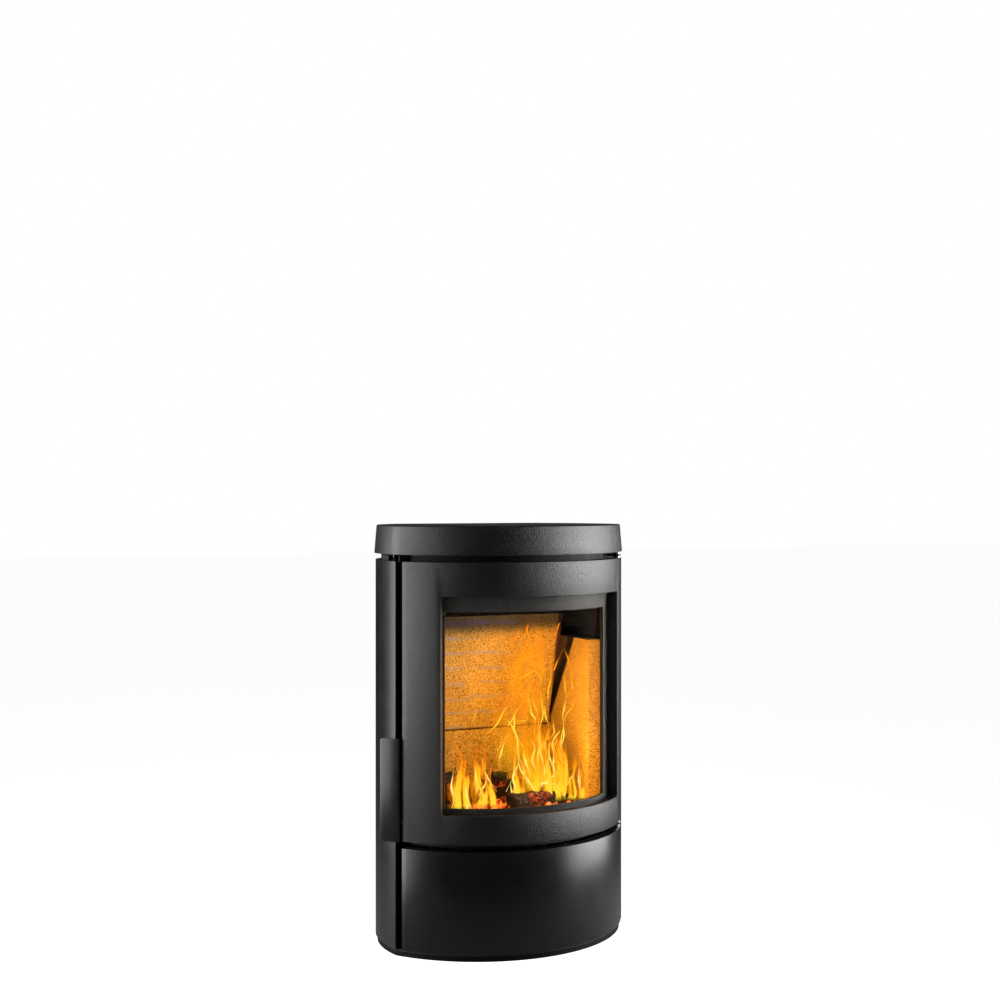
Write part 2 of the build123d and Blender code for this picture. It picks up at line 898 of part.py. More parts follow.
def make_handle():
    right = (1.5, 280.5)
    left = (41.8, 282.2)
    crown = (21.6, 283.1)
    outer = ThreePointArc(right, crown, left)
    inner = ThreePointArc(
        (left[0] - 0.4, left[1] - blade_thickness),
        (crown[0], crown[1] - blade_thickness),
        (right[0], right[1] - blade_thickness),
    )
    ends = Line(outer @ 1, inner @ 0) + Line(inner @ 1, outer @ 0)
    blade = extrude(
        Pos(0, 0, handle_bottom) * make_face(outer + inner + ends), handle_top - handle_bottom
    )
    tip = blade.edges().filter_by(is_radial).sort_by(Axis.X)[-2:].sort_by(Axis.Z)
    blade = fillet(tip[0], 9)
    tip = blade.edges().filter_by(is_radial).sort_by(lambda e: e.center().Z + e.center().X)[-1]
    blade = fillet(tip, 5)
    lips = [
        local_box(2.6, 9, 268, 278.4, handle_top - 3, handle_top),
        local_box(2.6, 9, 268, 278.4, handle_bottom + 4, handle_bottom + 7),
    ]
    web = local_box(2.6, 6.4, 272, 279, knuckle_bottom, knuckle_top)
    knuckle = upright(turn_s, turn_r, knuckle_bottom, knuckle_top, knuckle_radius)
    bore = upright(turn_s, turn_r, 200, 400, handle_pin_radius + running_gap)
    return at_door_end(blade + lips + web + knuckle - bore)


turn_point = at_door_end(Pos(turn_s, turn_r, 0) * Vertex(0, 0, 0)).center()
roller_x = turn_point.X + 9.0
roller_y = -218.0
roller_radius = 4.0


def make_latch_arms():
    """Two slanted arms, welded to the knuckle's flank, each with a stud for its roller."""
    arms = []
    for height in latch_heights:
        shank = Polyline(
            (turn_point.X + 0.5, turn_point.Y),
            (roller_x - 2.3, roller_y + 3.0),
            (roller_x + 2.5, roller_y + 3.0),
            (turn_point.X + 6.0, turn_point.Y),
            (turn_point.X + 0.5, turn_point.Y),
        )
        arm = extrude(Pos(0, 0, height) * make_face(shank), latch_plate)
        seat = upright(turn_point.X, turn_point.Y, height - 1, height + 10, knuckle_radius)
        relief = arc_band(
            door_back - 6, front_radius + 2, -corner_angle, -40, height - 1, height + 10
        )
        relief = offset(relief, 0.5)
        web_side = at_door_end(local_box(-20, 20, 271.9, 300, height - 1, height + 10))
        stud = upright(roller_x, roller_y, height - 8, height + 2, 2)
        body = arm - seat - relief - web_side + stud
        arms.append(body.solids().sort_by(SortBy.VOLUME)[-1])
    return arms


def make_latch_rollers():
    rollers = []
    for height in latch_heights:
        ring = upright(roller_x, roller_y, height - 7.5, height - 0.5, roller_radius)
        rollers.append(ring - upright(roller_x, roller_y, height - 20, height + 5, 2))
    return rollers


def make_latch_keepers():
    keepers = []
    for height in latch_heights:
        low, high = height - 14, height + 6
        tongue_left = roller_x + roller_radius + 0.5
        tongue_y = roller_y - roller_radius - 0.5
        foot = box_between((tongue_left, tongue_y - 2.4, low), (-201, tongue_y, high))
        leg = box_between((-206, -231, low), (-201, tongue_y, high))
        frame = arc_band(200, frame_outer_radius, -corner_angle, -30, low - 1, high + 1)
        keepers.append(foot + leg - frame)
    return keepers


def make_handle_pin():
    return upright(turn_point.X, turn_point.Y, knuckle_bottom - 10, knuckle_top + 10, handle_pin_radius)


def make_handle_bracket():
    """Two eyes on the door's end that hold the handle's pin, above and below the knuckle."""
    eyes = []
    for bottom in (knuckle_bottom - 8.3, knuckle_top + 0.3):
        eye = upright(turn_s, turn_r, bottom, bottom + 8, knuckle_radius)
        tab = local_box(0, turn_s, turn_r - 3, turn_r + 3, bottom, bottom + 8)
        hole = upright(turn_s, turn_r, 200, 400, handle_pin_radius)
        eyes.append(at_door_end(eye + tab - hole))
    return eyes


# Lower front: rolled sheet with folded edges, on its own pins, held shut by a magnet
fold_inner = 258.0


def make_lower_front():
    skin = arc_band(
        front_radius - lower_skin, front_radius, -corner_angle, corner_angle,
        lower_front_bottom, lower_front_top
    )
    folds = arc_band(
        fold_inner, front_radius - lower_skin, -corner_angle, corner_angle,
        lower_front_bottom, lower_front_bottom + sheet + 1
    )
    folds += arc_band(
        fold_inner, front_radius - lower_skin, -corner_angle, corner_angle,
        lower_front_top - 3, lower_front_top
    )
    for side in (-1, 1):
        start, end = sorted((side * corner_angle, side * (corner_angle - 0.45)))
        folds += arc_band(
            262, front_radius - lower_skin, start, end, lower_front_bottom, lower_front_top
        )
    panel = skin + folds
    panel -= pin_socket(0, lower_front_bottom + 10)
    panel -= pin_socket(lower_front_top - 10, lower_front_top + 5)
    return panel


def make_lower_front_strike():
    return arc_band(fold_inner - 1.5, fold_inner, -50, -44, lower_front_bottom, 38.0)


def make_catch_magnet():
    return arc_band(247.5, 255.8, -50, -44, 14.0, 34.0)


def make_catch_bracket():
    foot = arc_band(236, 256, -49, -45, base_top, 14.0)
    return foot + arc_band(244.5, 247.5, -49, -45, 14.0, 36.0)


def save(shape, name):
    """Writes one node, moved so that the origin is the middle of the wall fixings."""
    solids = shape if isinstance(shape, list) else [shape]
    pieces = []
    for item in solids:
        pieces.extend(item.solids())
    moved = [Pos(0, 0, -fixing_height) * piece for piece in pieces]
    export_step(moved[0] if len(moved) == 1 else Compound(children=moved), f"parts/{name}.step")


os.makedirs("parts", exist_ok=True)

save(make_plinth(), "plinth")
save(make_base_plate(), "base_plate")
right_panel = make_side_panel()
save(right_panel, "right_side_panel")
save(mirrored(right_panel), "left_side_panel")
right_jacket = make_jacket()
save(right_jacket, "right_inner_jacket")
save(mirrored(right_jacket), "left_inner_jacket")
hanger = make_panel_hanger()
save([hanger, mirrored(hanger)], "panel_hangers")
save(make_back_panel(), "back_panel")
save(make_hanging_bar(), "hanging_bar")
save(make_wall_bracket(), "wall_bracket")
save(make_spacer_pads(), "spacer_pads")
right_wall = make_firebox_side()
save(right_wall, "firebox_right_wall")
save(mirrored(right_wall), "firebox_left_wall")
save(make_firebox_back(), "firebox_back_wall")
save(make_firebox_floor(), "firebox_floor")
save(make_firebox_top(), "firebox_top")
save(make_outlet_cover(), "top_outlet_cover")
save(make_front_frame(), "front_frame")
right_brick = make_side_brick()
save(right_brick, "right_side_brick")
save(mirrored(right_brick), "left_side_brick")
save(make_lower_back_brick(), "lower_back_brick")
save(make_upper_back_brick(), "upper_back_brick")
save(make_baffle(), "baffle")
right_ledge = make_baffle_ledge()
save([right_ledge, mirrored(right_ledge)], "baffle_ledges")
save(make_base_bricks(), "base_bricks")
save(make_grate(), "grate")
save(make_riddle_plate(), "riddle_plate")
save(make_riddle_rod(), "riddle_rod")
save(make_riddle_knob(), "riddle_knob")
save(make_riddle_guides(), "riddle_guides")
save(make_air_slide(), "air_slide")
save(make_air_knob(), "air_knob")
save(make_air_guides(), "air_guides")
save(make_ash_housing(), "ash_housing")
save(make_ash_pan(), "ash_pan")
save(make_ash_pan_handle(), "ash_pan_handle")
save(make_flue_collar(), "flue_collar")
save(make_air_spigot(), "air_spigot")
save(make_air_duct(), "air_duct")
save(make_top_plate(), "top_plate")
lugs = [make_hinge_bracket(bottom, lug_thickness) for bottom in (top_lug, middle_lug)]
save(lugs, "hinge_lugs")
save([make_top_pin(), make_middle_pin(), make_lower_pin()], "hinge_pins")
save(make_hinge_washers(), "hinge_washers")
save(make_door_casting(), "door_casting")
save(make_glass(), "door_glass")
save(make_glass_seal(), "glass_seal")
save(make_glass_frame(), "glass_frame")
save(make_glass_screws(), "glass_screws")
save(make_door_seal(), "door_seal")
save(make_handle_pin(), "handle_pin")
save(make_handle_bracket(), "handle_bracket")
save(make_handle(), "door_handle")
save(make_latch_arms(), "latch_arms")
save(make_latch_rollers(), "latch_rollers")
save(make_latch_keepers(), "latch_keepers")
save(make_lower_front(), "lower_front")
save(make_lower_front_strike(), "lower_front_strike")
save(make_catch_magnet(), "catch_magnet")
save(make_catch_bracket(), "catch_bracket")
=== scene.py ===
import math
import random

import bpy
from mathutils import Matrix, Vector


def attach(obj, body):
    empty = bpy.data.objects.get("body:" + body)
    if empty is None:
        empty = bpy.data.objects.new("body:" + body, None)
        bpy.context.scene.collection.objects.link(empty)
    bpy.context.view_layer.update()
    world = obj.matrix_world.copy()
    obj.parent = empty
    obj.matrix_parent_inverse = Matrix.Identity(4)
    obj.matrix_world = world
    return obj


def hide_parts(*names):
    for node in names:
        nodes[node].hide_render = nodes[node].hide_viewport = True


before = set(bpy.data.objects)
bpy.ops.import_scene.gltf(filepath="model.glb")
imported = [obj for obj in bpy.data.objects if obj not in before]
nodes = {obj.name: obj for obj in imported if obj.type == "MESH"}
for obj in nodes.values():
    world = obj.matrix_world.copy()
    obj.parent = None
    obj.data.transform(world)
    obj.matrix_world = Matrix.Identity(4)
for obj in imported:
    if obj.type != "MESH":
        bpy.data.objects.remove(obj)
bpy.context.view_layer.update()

# Camera: stands level at the height of a seated eye, to the left of the stove, and turned towards
# it. It looks from nearly three metres, so the upright edges stay upright.
camera_data = bpy.data.cameras.new("camera")
camera_data.lens = 57.195
camera_data.sensor_width = 36.0
camera = bpy.data.objects.new("camera", camera_data)
bpy.context.scene.collection.objects.link(camera)
camera.location = (-1.3571, -2.8569, 0.347)
camera.rotation_euler = (math.radians(90.0), 0.0, math.radians(-26.918))
bpy.context.scene.camera = camera
bpy.context.scene.view_settings.view_transform = "Standard"


# Studio: a white room with a pale cloth floor. The stove hangs on its wall bracket, so the floor
# lies well below it. The room is white to the eye and gives hardly any light or reflection.


def add_node(tree, kind, settings=None, **inputs):
    made = tree.nodes.new(kind)
    for name, value in (settings or {}).items():
        setattr(made, name, value)
    for name, value in inputs.items():
        made.inputs[name.replace("_", " ")].default_value = value
    return made


def join(tree, source, target):
    tree.links.new(source, target)


def rgb(red, green, blue):
    return (red, green, blue, 1.0)


def reckon(tree, operation, *values):
    """A Math node; a value of None leaves its socket for a link."""
    made = add_node(tree, "ShaderNodeMath", {"operation": operation})
    for socket, value in zip(made.inputs, values):
        if value is not None:
            socket.default_value = value
    return made


def fade(tree, start, end):
    """A Map Range that eases from 0 at start to 1 at end."""
    return add_node(
        tree, "ShaderNodeMapRange", {"interpolation_type": "SMOOTHSTEP"}, From_Min=start, From_Max=end
    )


def ramp(tree, *stops):
    """A Color Ramp through the stops, each a place from 0 to 1 and a colour."""
    made = add_node(tree, "ShaderNodeValToRGB")
    elements = made.color_ramp.elements
    for element, (place, colour) in zip(elements, (stops[0], stops[-1])):
        element.position = place
        element.color = colour
    for place, colour in stops[1:-1]:
        elements.new(place).color = colour
    return made


def seen_plainly(tree):
    """The Light Path node, and one that gives 1 where a ray from the eye arrives, also through
    the pane, and 0 where the ray only carries light."""
    path = add_node(tree, "ShaderNodeLightPath")
    first = reckon(tree, "LESS_THAN", None, 0.5)
    through = reckon(tree, "MULTIPLY")
    seen = reckon(tree, "MAXIMUM")
    join(tree, path.outputs["Diffuse Depth"], first.inputs[0])
    join(tree, path.outputs["Is Transmission Ray"], through.inputs[0])
    join(tree, first.outputs[0], through.inputs[1])
    join(tree, path.outputs["Is Camera Ray"], seen.inputs[0])
    join(tree, through.outputs[0], seen.inputs[1])
    return path, seen


world = bpy.data.worlds.new("white_room")
bpy.context.scene.world = world
world.use_nodes = True
room = world.node_tree
room.nodes.clear()
room_path, room_seen = seen_plainly(room)
mirrored_share = 0.03
ambient_strength = 0.06
room_gloss = reckon(room, "MULTIPLY", None, mirrored_share)
room_share = reckon(room, "MAXIMUM")
room_light = add_node(
    room, "ShaderNodeBackground", Color=rgb(1.0, 1.0, 1.0), Strength=ambient_strength
)
room_white = add_node(room, "ShaderNodeBackground", Color=rgb(1.0, 1.0, 1.0), Strength=1.0)
room_mix = add_node(room, "ShaderNodeMixShader")
room_out = add_node(room, "ShaderNodeOutputWorld")
join(room, room_path.outputs["Is Glossy Ray"], room_gloss.inputs[0])
join(room, room_seen.outputs[0], room_share.inputs[0])
join(room, room_gloss.outputs[0], room_share.inputs[1])
join(room, room_share.outputs[0], room_mix.inputs[0])
join(room, room_light.outputs[0], room_mix.inputs[1])
join(room, room_white.outputs[0], room_mix.inputs[2])
join(room, room_mix.outputs[0], room_out.inputs["Surface"])

floor_height = -0.83
bpy.ops.object.select_all(action="DESELECT")
bpy.ops.mesh.primitive_grid_add(
    x_subdivisions=8, y_subdivisions=8, size=60.0, location=(0.0, 0.0, floor_height)
)
floor = bpy.context.object
floor.name = "floor"
floor_material = bpy.data.materials.new("white_floor")
floor_material.use_nodes = True
floor_tree = floor_material.node_tree
floor_tree.nodes.clear()
floor_seen = seen_plainly(floor_tree)[1]
floor_lift = reckon(floor_tree, "MULTIPLY", None, 0.96)
floor_grain = add_node(floor_tree, "ShaderNodeTexNoise", Scale=3.0, Detail=3.0)
floor_place = add_node(floor_tree, "ShaderNodeTexCoord")
floor_tint = ramp(floor_tree, (0.0, rgb(0.24, 0.24, 0.24)), (1.0, rgb(0.27, 0.27, 0.27)))
floor_cloth = add_node(floor_tree, "ShaderNodeBsdfDiffuse")
floor_glow = add_node(floor_tree, "ShaderNodeEmission")
floor_sum = add_node(floor_tree, "ShaderNodeAddShader")
floor_out = add_node(floor_tree, "ShaderNodeOutputMaterial")
join(floor_tree, floor_place.outputs["Object"], floor_grain.inputs["Vector"])
join(floor_tree, floor_grain.outputs[0], floor_tint.inputs[0])
join(floor_tree, floor_tint.outputs[0], floor_cloth.inputs["Color"])
join(floor_tree, floor_seen.outputs[0], floor_lift.inputs[0])
join(floor_tree, floor_lift.outputs[0], floor_glow.inputs["Strength"])
join(floor_tree, floor_cloth.outputs[0], floor_sum.inputs[0])
join(floor_tree, floor_glow.outputs[0], floor_sum.inputs[1])
join(floor_tree, floor_sum.outputs[0], floor_out.inputs["Surface"])
floor.data.materials.append(floor_material)

# Lamps: a tall softbox at each side, which the black paint mirrors as a soft band along each
# rounded edge of the stove, and a weak one from above for the top plate.
stove_middle = Vector((0.0, -0.19, -0.08))


def softbox(name, direction, distance, height, width, tall, power):
    """A soft lamp at a direction round the stove, level, and facing it."""
    turn = math.radians(direction)
    lamp_data = bpy.data.lights.new(name, "AREA")
    lamp_data.shape = "RECTANGLE"
    lamp_data.size = width
    lamp_data.size_y = tall
    lamp_data.energy = power
    lamp = bpy.data.objects.new(name, lamp_data)
    bpy.context.scene.collection.objects.link(lamp)
    lamp.location = (
        stove_middle.x + distance * math.sin(turn),
        stove_middle.y - distance * math.cos(turn),
        height,
    )
    aim = Vector((stove_middle.x, stove_middle.y, height)) - lamp.location
    lamp.rotation_euler = aim.to_track_quat("-Z", "Y").to_euler()
    return lamp


softbox("right_softbox", 69.5, 2.2, height=0.54, width=1.72, tall=2.0, power=136.0)
softbox("left_softbox", -108.0, 2.2, height=0.38, width=2.2, tall=2.1, power=112.0)
top_box = softbox("top_softbox", -12.0, 1.4, height=2.5, width=1.6, tall=1.6, power=2.5)
top_box.rotation_euler = (stove_middle - top_box.location).to_track_quat("-Z", "Y").to_euler()


# Finishes that several pieces share. The skin group is the broken surface that paint, casting or
# dust leaves: mottled tone, uneven gloss and a fine relief, each in the size that is asked for.


def make_skin_group():
    group = bpy.data.node_groups.new("skin", "ShaderNodeTree")
    for name, value in (("Grain", 600.0), ("Mottle", 30.0), ("Contrast", 0.5)):
        socket = group.interface.new_socket(name, in_out="INPUT", socket_type="NodeSocketFloat")
        socket.default_value = value
    for name in ("Height", "Tone"):
        group.interface.new_socket(name, in_out="OUTPUT", socket_type="NodeSocketFloat")
    inside = add_node(group, "NodeGroupInput")
    outside = add_node(group, "NodeGroupOutput")
    place = add_node(group, "ShaderNodeTexCoord")
    fine = add_node(group, "ShaderNodeTexNoise", Detail=3.0, Roughness=0.6)
    broad = add_node(group, "ShaderNodeTexNoise", Detail=4.0, Roughness=0.55)
    spread = add_node(group, "ShaderNodeMapRange", From_Min=0.3, From_Max=0.7)
    tone = reckon(group, "MULTIPLY_ADD")
    join(group, place.outputs["Object"], fine.inputs["Vector"])
    join(group, place.outputs["Object"], broad.inputs["Vector"])
    join(group, inside.outputs["Grain"], fine.inputs["Scale"])
    join(group, inside.outputs["Mottle"], broad.inputs["Scale"])
    join(group, broad.outputs[0], spread.inputs["Value"])
    join(group, fine.outputs[0], tone.inputs[0])
    join(group, inside.outputs["Contrast"], tone.inputs[1])
    join(group, spread.outputs[0], tone.inputs[2])
    join(group, fine.outputs[0], outside.inputs["Height"])
    join(group, tone.outputs[0], outside.inputs["Tone"])
    return group


skin_group = make_skin_group()


def new_material(name):
    material = bpy.data.materials.new(name)
    material.use_nodes = True
    tree = material.node_tree
    return material, tree, tree.nodes["Principled BSDF"]


def skinned(name, dark, light, rough, grain, mottle, depth, contrast=0.5, metal=0.0, specular=0.5):
    """A finish whose tone runs between two colours and whose gloss runs between two values."""
    material, tree, surface = new_material(name)
    skin = add_node(
        tree, "ShaderNodeGroup", {"node_tree": skin_group},
        Grain=grain, Mottle=mottle, Contrast=contrast,
    )
    tone = ramp(tree, (0.2, dark), (1.0, light))
    gloss = add_node(tree, "ShaderNodeMapRange", To_Min=rough[0], To_Max=rough[1])
    relief = add_node(tree, "ShaderNodeBump", Strength=1.0, Distance=depth)
    join(tree, skin.outputs["Tone"], tone.inputs[0])
    join(tree, skin.outputs["Tone"], gloss.inputs["Value"])
    join(tree, skin.outputs["Height"], relief.inputs["Height"])
    join(tree, tone.outputs[0], surface.inputs["Base Color"])
    join(tree, gloss.outputs[0], surface.inputs["Roughness"])
    join(tree, relief.outputs[0], surface.inputs["Normal"])
    surface.inputs["Metallic"].default_value = metal
    surface.inputs["Specular IOR Level"].default_value = specular
    return material


def dress(material, *names):
    for name in names:
        nodes[name].data.materials.clear()
        nodes[name].data.materials.append(material)


cast_paint = skinned(
    "cast_paint", rgb(0.0010, 0.0010, 0.0010), rgb(0.0028, 0.0027, 0.0026), (0.24, 0.34),
    520.0, 160.0, 0.0010, contrast=0.9, specular=0.46,
)
sheet_paint = skinned(
    "sheet_paint", rgb(0.0014, 0.0014, 0.0014), rgb(0.0024, 0.0023, 0.0022), (0.28, 0.34),
    1500.0, 25.0, 0.00004, contrast=0.3, specular=0.36,
)
handle_paint = skinned(
    "handle_paint", rgb(0.0014, 0.0014, 0.0014), rgb(0.0024, 0.0023, 0.0022), (0.28, 0.34),
    1500.0, 25.0, 0.00004, contrast=0.3, specular=0.25,
)
tray_paint = skinned(
    "tray_paint", rgb(0.0008, 0.0008, 0.0008), rgb(0.0018, 0.0017, 0.0016), (0.6, 0.75),
    420.0, 18.0, 0.00008, contrast=0.6, specular=0.12,
)
inner_paint = skinned(
    "inner_paint", rgb(0.004, 0.004, 0.004), rgb(0.010, 0.0095, 0.009), (0.5, 0.68),
    500.0, 30.0, 0.00008, specular=0.3,
)
bright_steel = skinned(
    "bright_steel", rgb(0.42, 0.41, 0.4), rgb(0.6, 0.59, 0.57), (0.24, 0.4),
    900.0, 60.0, 0.00002, metal=1.0,
)
galvanised_sheet = skinned(
    "galvanised_sheet", rgb(0.36, 0.37, 0.38), rgb(0.58, 0.59, 0.6), (0.34, 0.52),
    90.0, 22.0, 0.00002, contrast=0.9, metal=1.0,
)
burnt_steel = skinned(
    "burnt_steel", rgb(0.004, 0.0035, 0.003), rgb(0.016, 0.013, 0.011), (0.6, 0.85),
    420.0, 18.0, 0.00012, contrast=0.6, specular=0.3,
)
soot = skinned(
    "soot", rgb(0.0008, 0.0007, 0.0006), rgb(0.003, 0.0022, 0.0018), (0.85, 0.97),
    420.0, 18.0, 0.00012, contrast=0.6, specular=0.1,
)
raw_casting = skinned(
    "raw_casting", rgb(0.018, 0.017, 0.016), rgb(0.09, 0.085, 0.08), (0.6, 0.85),
    700.0, 40.0, 0.0004, contrast=0.9,
)
seal_rope = skinned(
    "seal_rope", rgb(0.02, 0.02, 0.02), rgb(0.075, 0.073, 0.07), (0.85, 0.95),
    900.0, 120.0, 0.0006, contrast=1.0,
)
ferrite = skinned(
    "ferrite", rgb(0.018, 0.018, 0.019), rgb(0.035, 0.035, 0.036), (0.35, 0.5),
    1200.0, 80.0, 0.00003,
)

# Fire bricks: slabs of vermiculite, pressed golden flakes. Dark flakes and pits speckle them all
# over, and smoke has stained them in broad patches.
vermiculite, slab_tree, slab_surface = new_material("vermiculite")
slab_place = add_node(slab_tree, "ShaderNodeTexCoord")
slab_flakes = add_node(slab_tree, "ShaderNodeTexVoronoi", Scale=420.0, Randomness=1.0)
slab_fine = add_node(slab_tree, "ShaderNodeTexNoise", Scale=460.0, Detail=2.0, Roughness=0.7)
slab_stain = add_node(slab_tree, "ShaderNodeTexNoise", Scale=9.0, Detail=4.0)
slab_gold = ramp(slab_tree, (0.0, rgb(0.48, 0.33, 0.10)), (1.0, rgb(0.80, 0.60, 0.18)))
slab_specks = ramp(slab_tree, (0.40, rgb(0.16, 0.11, 0.07)), (0.47, rgb(1.0, 1.0, 1.0)))
slab_colour = add_node(slab_tree, "ShaderNodeMixRGB", {"blend_type": "MULTIPLY"}, Fac=1.0)
slab_soot = add_node(
    slab_tree, "ShaderNodeMapRange", From_Min=0.35, From_Max=0.75, To_Min=1.0, To_Max=0.62
)
slab_dim = add_node(slab_tree, "ShaderNodeMixRGB", {"blend_type": "MULTIPLY"}, Fac=1.0)
slab_relief = add_node(slab_tree, "ShaderNodeBump", Strength=0.8, Distance=0.0008)
join(slab_tree, slab_place.outputs["Object"], slab_flakes.inputs["Vector"])
join(slab_tree, slab_place.outputs["Object"], slab_fine.inputs["Vector"])
join(slab_tree, slab_place.outputs["Object"], slab_stain.inputs["Vector"])
join(slab_tree, slab_flakes.outputs["Color"], slab_gold.inputs[0])
join(slab_tree, slab_fine.outputs[0], slab_specks.inputs[0])
join(slab_tree, slab_gold.outputs[0], slab_colour.inputs[1])
join(slab_tree, slab_specks.outputs[0], slab_colour.inputs[2])
join(slab_tree, slab_stain.outputs[0], slab_soot.inputs["Value"])
join(slab_tree, slab_colour.outputs[0], slab_dim.inputs[1])
join(slab_tree, slab_soot.outputs[0], slab_dim.inputs[2])
join(slab_tree, slab_dim.outputs[0], slab_surface.inputs["Base Color"])
join(slab_tree, slab_fine.outputs[0], slab_relief.inputs["Height"])
join(slab_tree, slab_relief.outputs[0], slab_surface.inputs["Normal"])
slab_surface.inputs["Roughness"].default_value = 0.9

# Leaning slab: the same vermiculite after years of fire. Its upper edge is painted grey-blue, which
# stands in for the pale outside light that falls there, pale streaks of ash cross it, its right side
# is darkened brown with painted shade and a dark joint runs along its foot.
worn_and_shaded_slab = vermiculite.copy()
worn_and_shaded_slab.name = "worn_shaded_vermiculite"
worn_tree = worn_and_shaded_slab.node_tree
worn_surface = worn_tree.nodes["Principled BSDF"]
worn_old = worn_surface.inputs["Base Color"].links[0].from_socket
worn_place = add_node(worn_tree, "ShaderNodeTexCoord")
worn_parts = add_node(worn_tree, "ShaderNodeSeparateXYZ")
worn_noise = add_node(worn_tree, "ShaderNodeTexNoise", Scale=16.0, Detail=4.0)
worn_wave = reckon(worn_tree, "MULTIPLY_ADD", None, 0.016)
worn_phase = reckon(worn_tree, "MULTIPLY", None, 213.0)
worn_sine = reckon(worn_tree, "SINE")
worn_line = fade(worn_tree, 0.45, 0.95)
worn_patch = add_node(worn_tree, "ShaderNodeTexNoise", Scale=1.0, Detail=2.0)
worn_stretch = add_node(worn_tree, "ShaderNodeMapping")
worn_stretch.inputs["Scale"].default_value = (14.0, 14.0, 60.0)
worn_some = fade(worn_tree, 0.34, 0.54)
worn_right = fade(worn_tree, 0.06, 0.0)
worn_grit = add_node(worn_tree, "ShaderNodeTexNoise", Scale=380.0, Detail=2.0)
worn_broken = fade(worn_tree, 0.42, 0.56)
worn_left = reckon(worn_tree, "MULTIPLY")
worn_ash = reckon(worn_tree, "MULTIPLY")
worn_share = reckon(worn_tree, "MULTIPLY")
worn_streak = add_node(
    worn_tree, "ShaderNodeMixRGB", {"blend_type": "MIX"}, Color2=rgb(0.30, 0.32, 0.36)
)
# Painted light: along the upper edge the colour is darkened and tinted grey-blue, standing in for the
# pale outside light that falls there.
top_light_mask = fade(worn_tree, 0.093, 0.121)
top_painted_light = add_node(
    worn_tree, "ShaderNodeMixRGB", {"blend_type": "MULTIPLY"}, Color2=rgb(0.12, 0.16, 0.50)
)
join(worn_tree, worn_place.outputs["Object"], worn_parts.inputs[0])
join(worn_tree, worn_place.outputs["Object"], worn_noise.inputs["Vector"])
join(worn_tree, worn_place.outputs["Object"], worn_stretch.inputs["Vector"])
join(worn_tree, worn_stretch.outputs[0], worn_patch.inputs["Vector"])
join(worn_tree, worn_noise.outputs[0], worn_wave.inputs[0])
join(worn_tree, worn_parts.outputs["Z"], worn_wave.inputs[2])
join(worn_tree, worn_wave.outputs[0], worn_phase.inputs[0])
join(worn_tree, worn_phase.outputs[0], worn_sine.inputs[0])
join(worn_tree, worn_sine.outputs[0], worn_line.inputs["Value"])
join(worn_tree, worn_patch.outputs[0], worn_some.inputs["Value"])
join(worn_tree, worn_parts.outputs["X"], worn_right.inputs["Value"])
join(worn_tree, worn_place.outputs["Object"], worn_grit.inputs["Vector"])
join(worn_tree, worn_grit.outputs[0], worn_broken.inputs["Value"])
join(worn_tree, worn_line.outputs[0], worn_left.inputs[0])
join(worn_tree, worn_broken.outputs[0], worn_left.inputs[1])
join(worn_tree, worn_left.outputs[0], worn_ash.inputs[0])
join(worn_tree, worn_some.outputs[0], worn_ash.inputs[1])
join(worn_tree, worn_ash.outputs[0], worn_share.inputs[0])
join(worn_tree, worn_right.outputs[0], worn_share.inputs[1])
join(worn_tree, worn_share.outputs[0], worn_streak.inputs[0])
join(worn_tree, worn_old, worn_streak.inputs[1])
join(worn_tree, worn_wave.outputs[0], top_light_mask.inputs["Value"])
join(worn_tree, top_light_mask.outputs[0], top_painted_light.inputs[0])
join(worn_tree, worn_streak.outputs[0], top_painted_light.inputs[1])
worn_foot = fade(worn_tree, -0.0925, -0.0885)
worn_joint = add_node(
    worn_tree, "ShaderNodeMixRGB", {"blend_type": "MIX"}, Color1=rgb(0.02, 0.010, 0.006)
)
join(worn_tree, worn_parts.outputs["Z"], worn_foot.inputs["Value"])
join(worn_tree, worn_foot.outputs[0], worn_joint.inputs[0])
# Painted shade: the right side of the slab is darkened brown where it lies in shade beside the side
# brick.
side_shade_slope = reckon(worn_tree, "MULTIPLY_ADD", None, 0.10)
side_shade_mask = fade(worn_tree, 0.133, 0.138)
side_painted_shade = add_node(
    worn_tree, "ShaderNodeMixRGB", {"blend_type": "MULTIPLY"}, Color2=rgb(0.14, 0.075, 0.30)
)
join(worn_tree, worn_parts.outputs["Z"], side_shade_slope.inputs[0])
join(worn_tree, worn_parts.outputs["X"], side_shade_slope.inputs[2])
join(worn_tree, side_shade_slope.outputs[0], side_shade_mask.inputs["Value"])
join(worn_tree, side_shade_mask.outputs[0], side_painted_shade.inputs[0])
join(worn_tree, top_painted_light.outputs[0], side_painted_shade.inputs[1])
join(worn_tree, side_painted_shade.outputs[0], worn_joint.inputs[2])
join(worn_tree, worn_joint.outputs[0], worn_surface.inputs["Base Color"])

# Right side brick: vermiculite too. Where the leaning slab shades it from the fire, a dark wedge of
# painted shadow is laid on it.
painted_shadow_brick = vermiculite.copy()
painted_shadow_brick.name = "shadowed_vermiculite"
shadowed_tree = painted_shadow_brick.node_tree
shadowed_surface = shadowed_tree.nodes["Principled BSDF"]
shadowed_old = shadowed_surface.inputs["Base Color"].links[0].from_socket
shadowed_place = add_node(shadowed_tree, "ShaderNodeTexCoord")
shadowed_parts = add_node(shadowed_tree, "ShaderNodeSeparateXYZ")
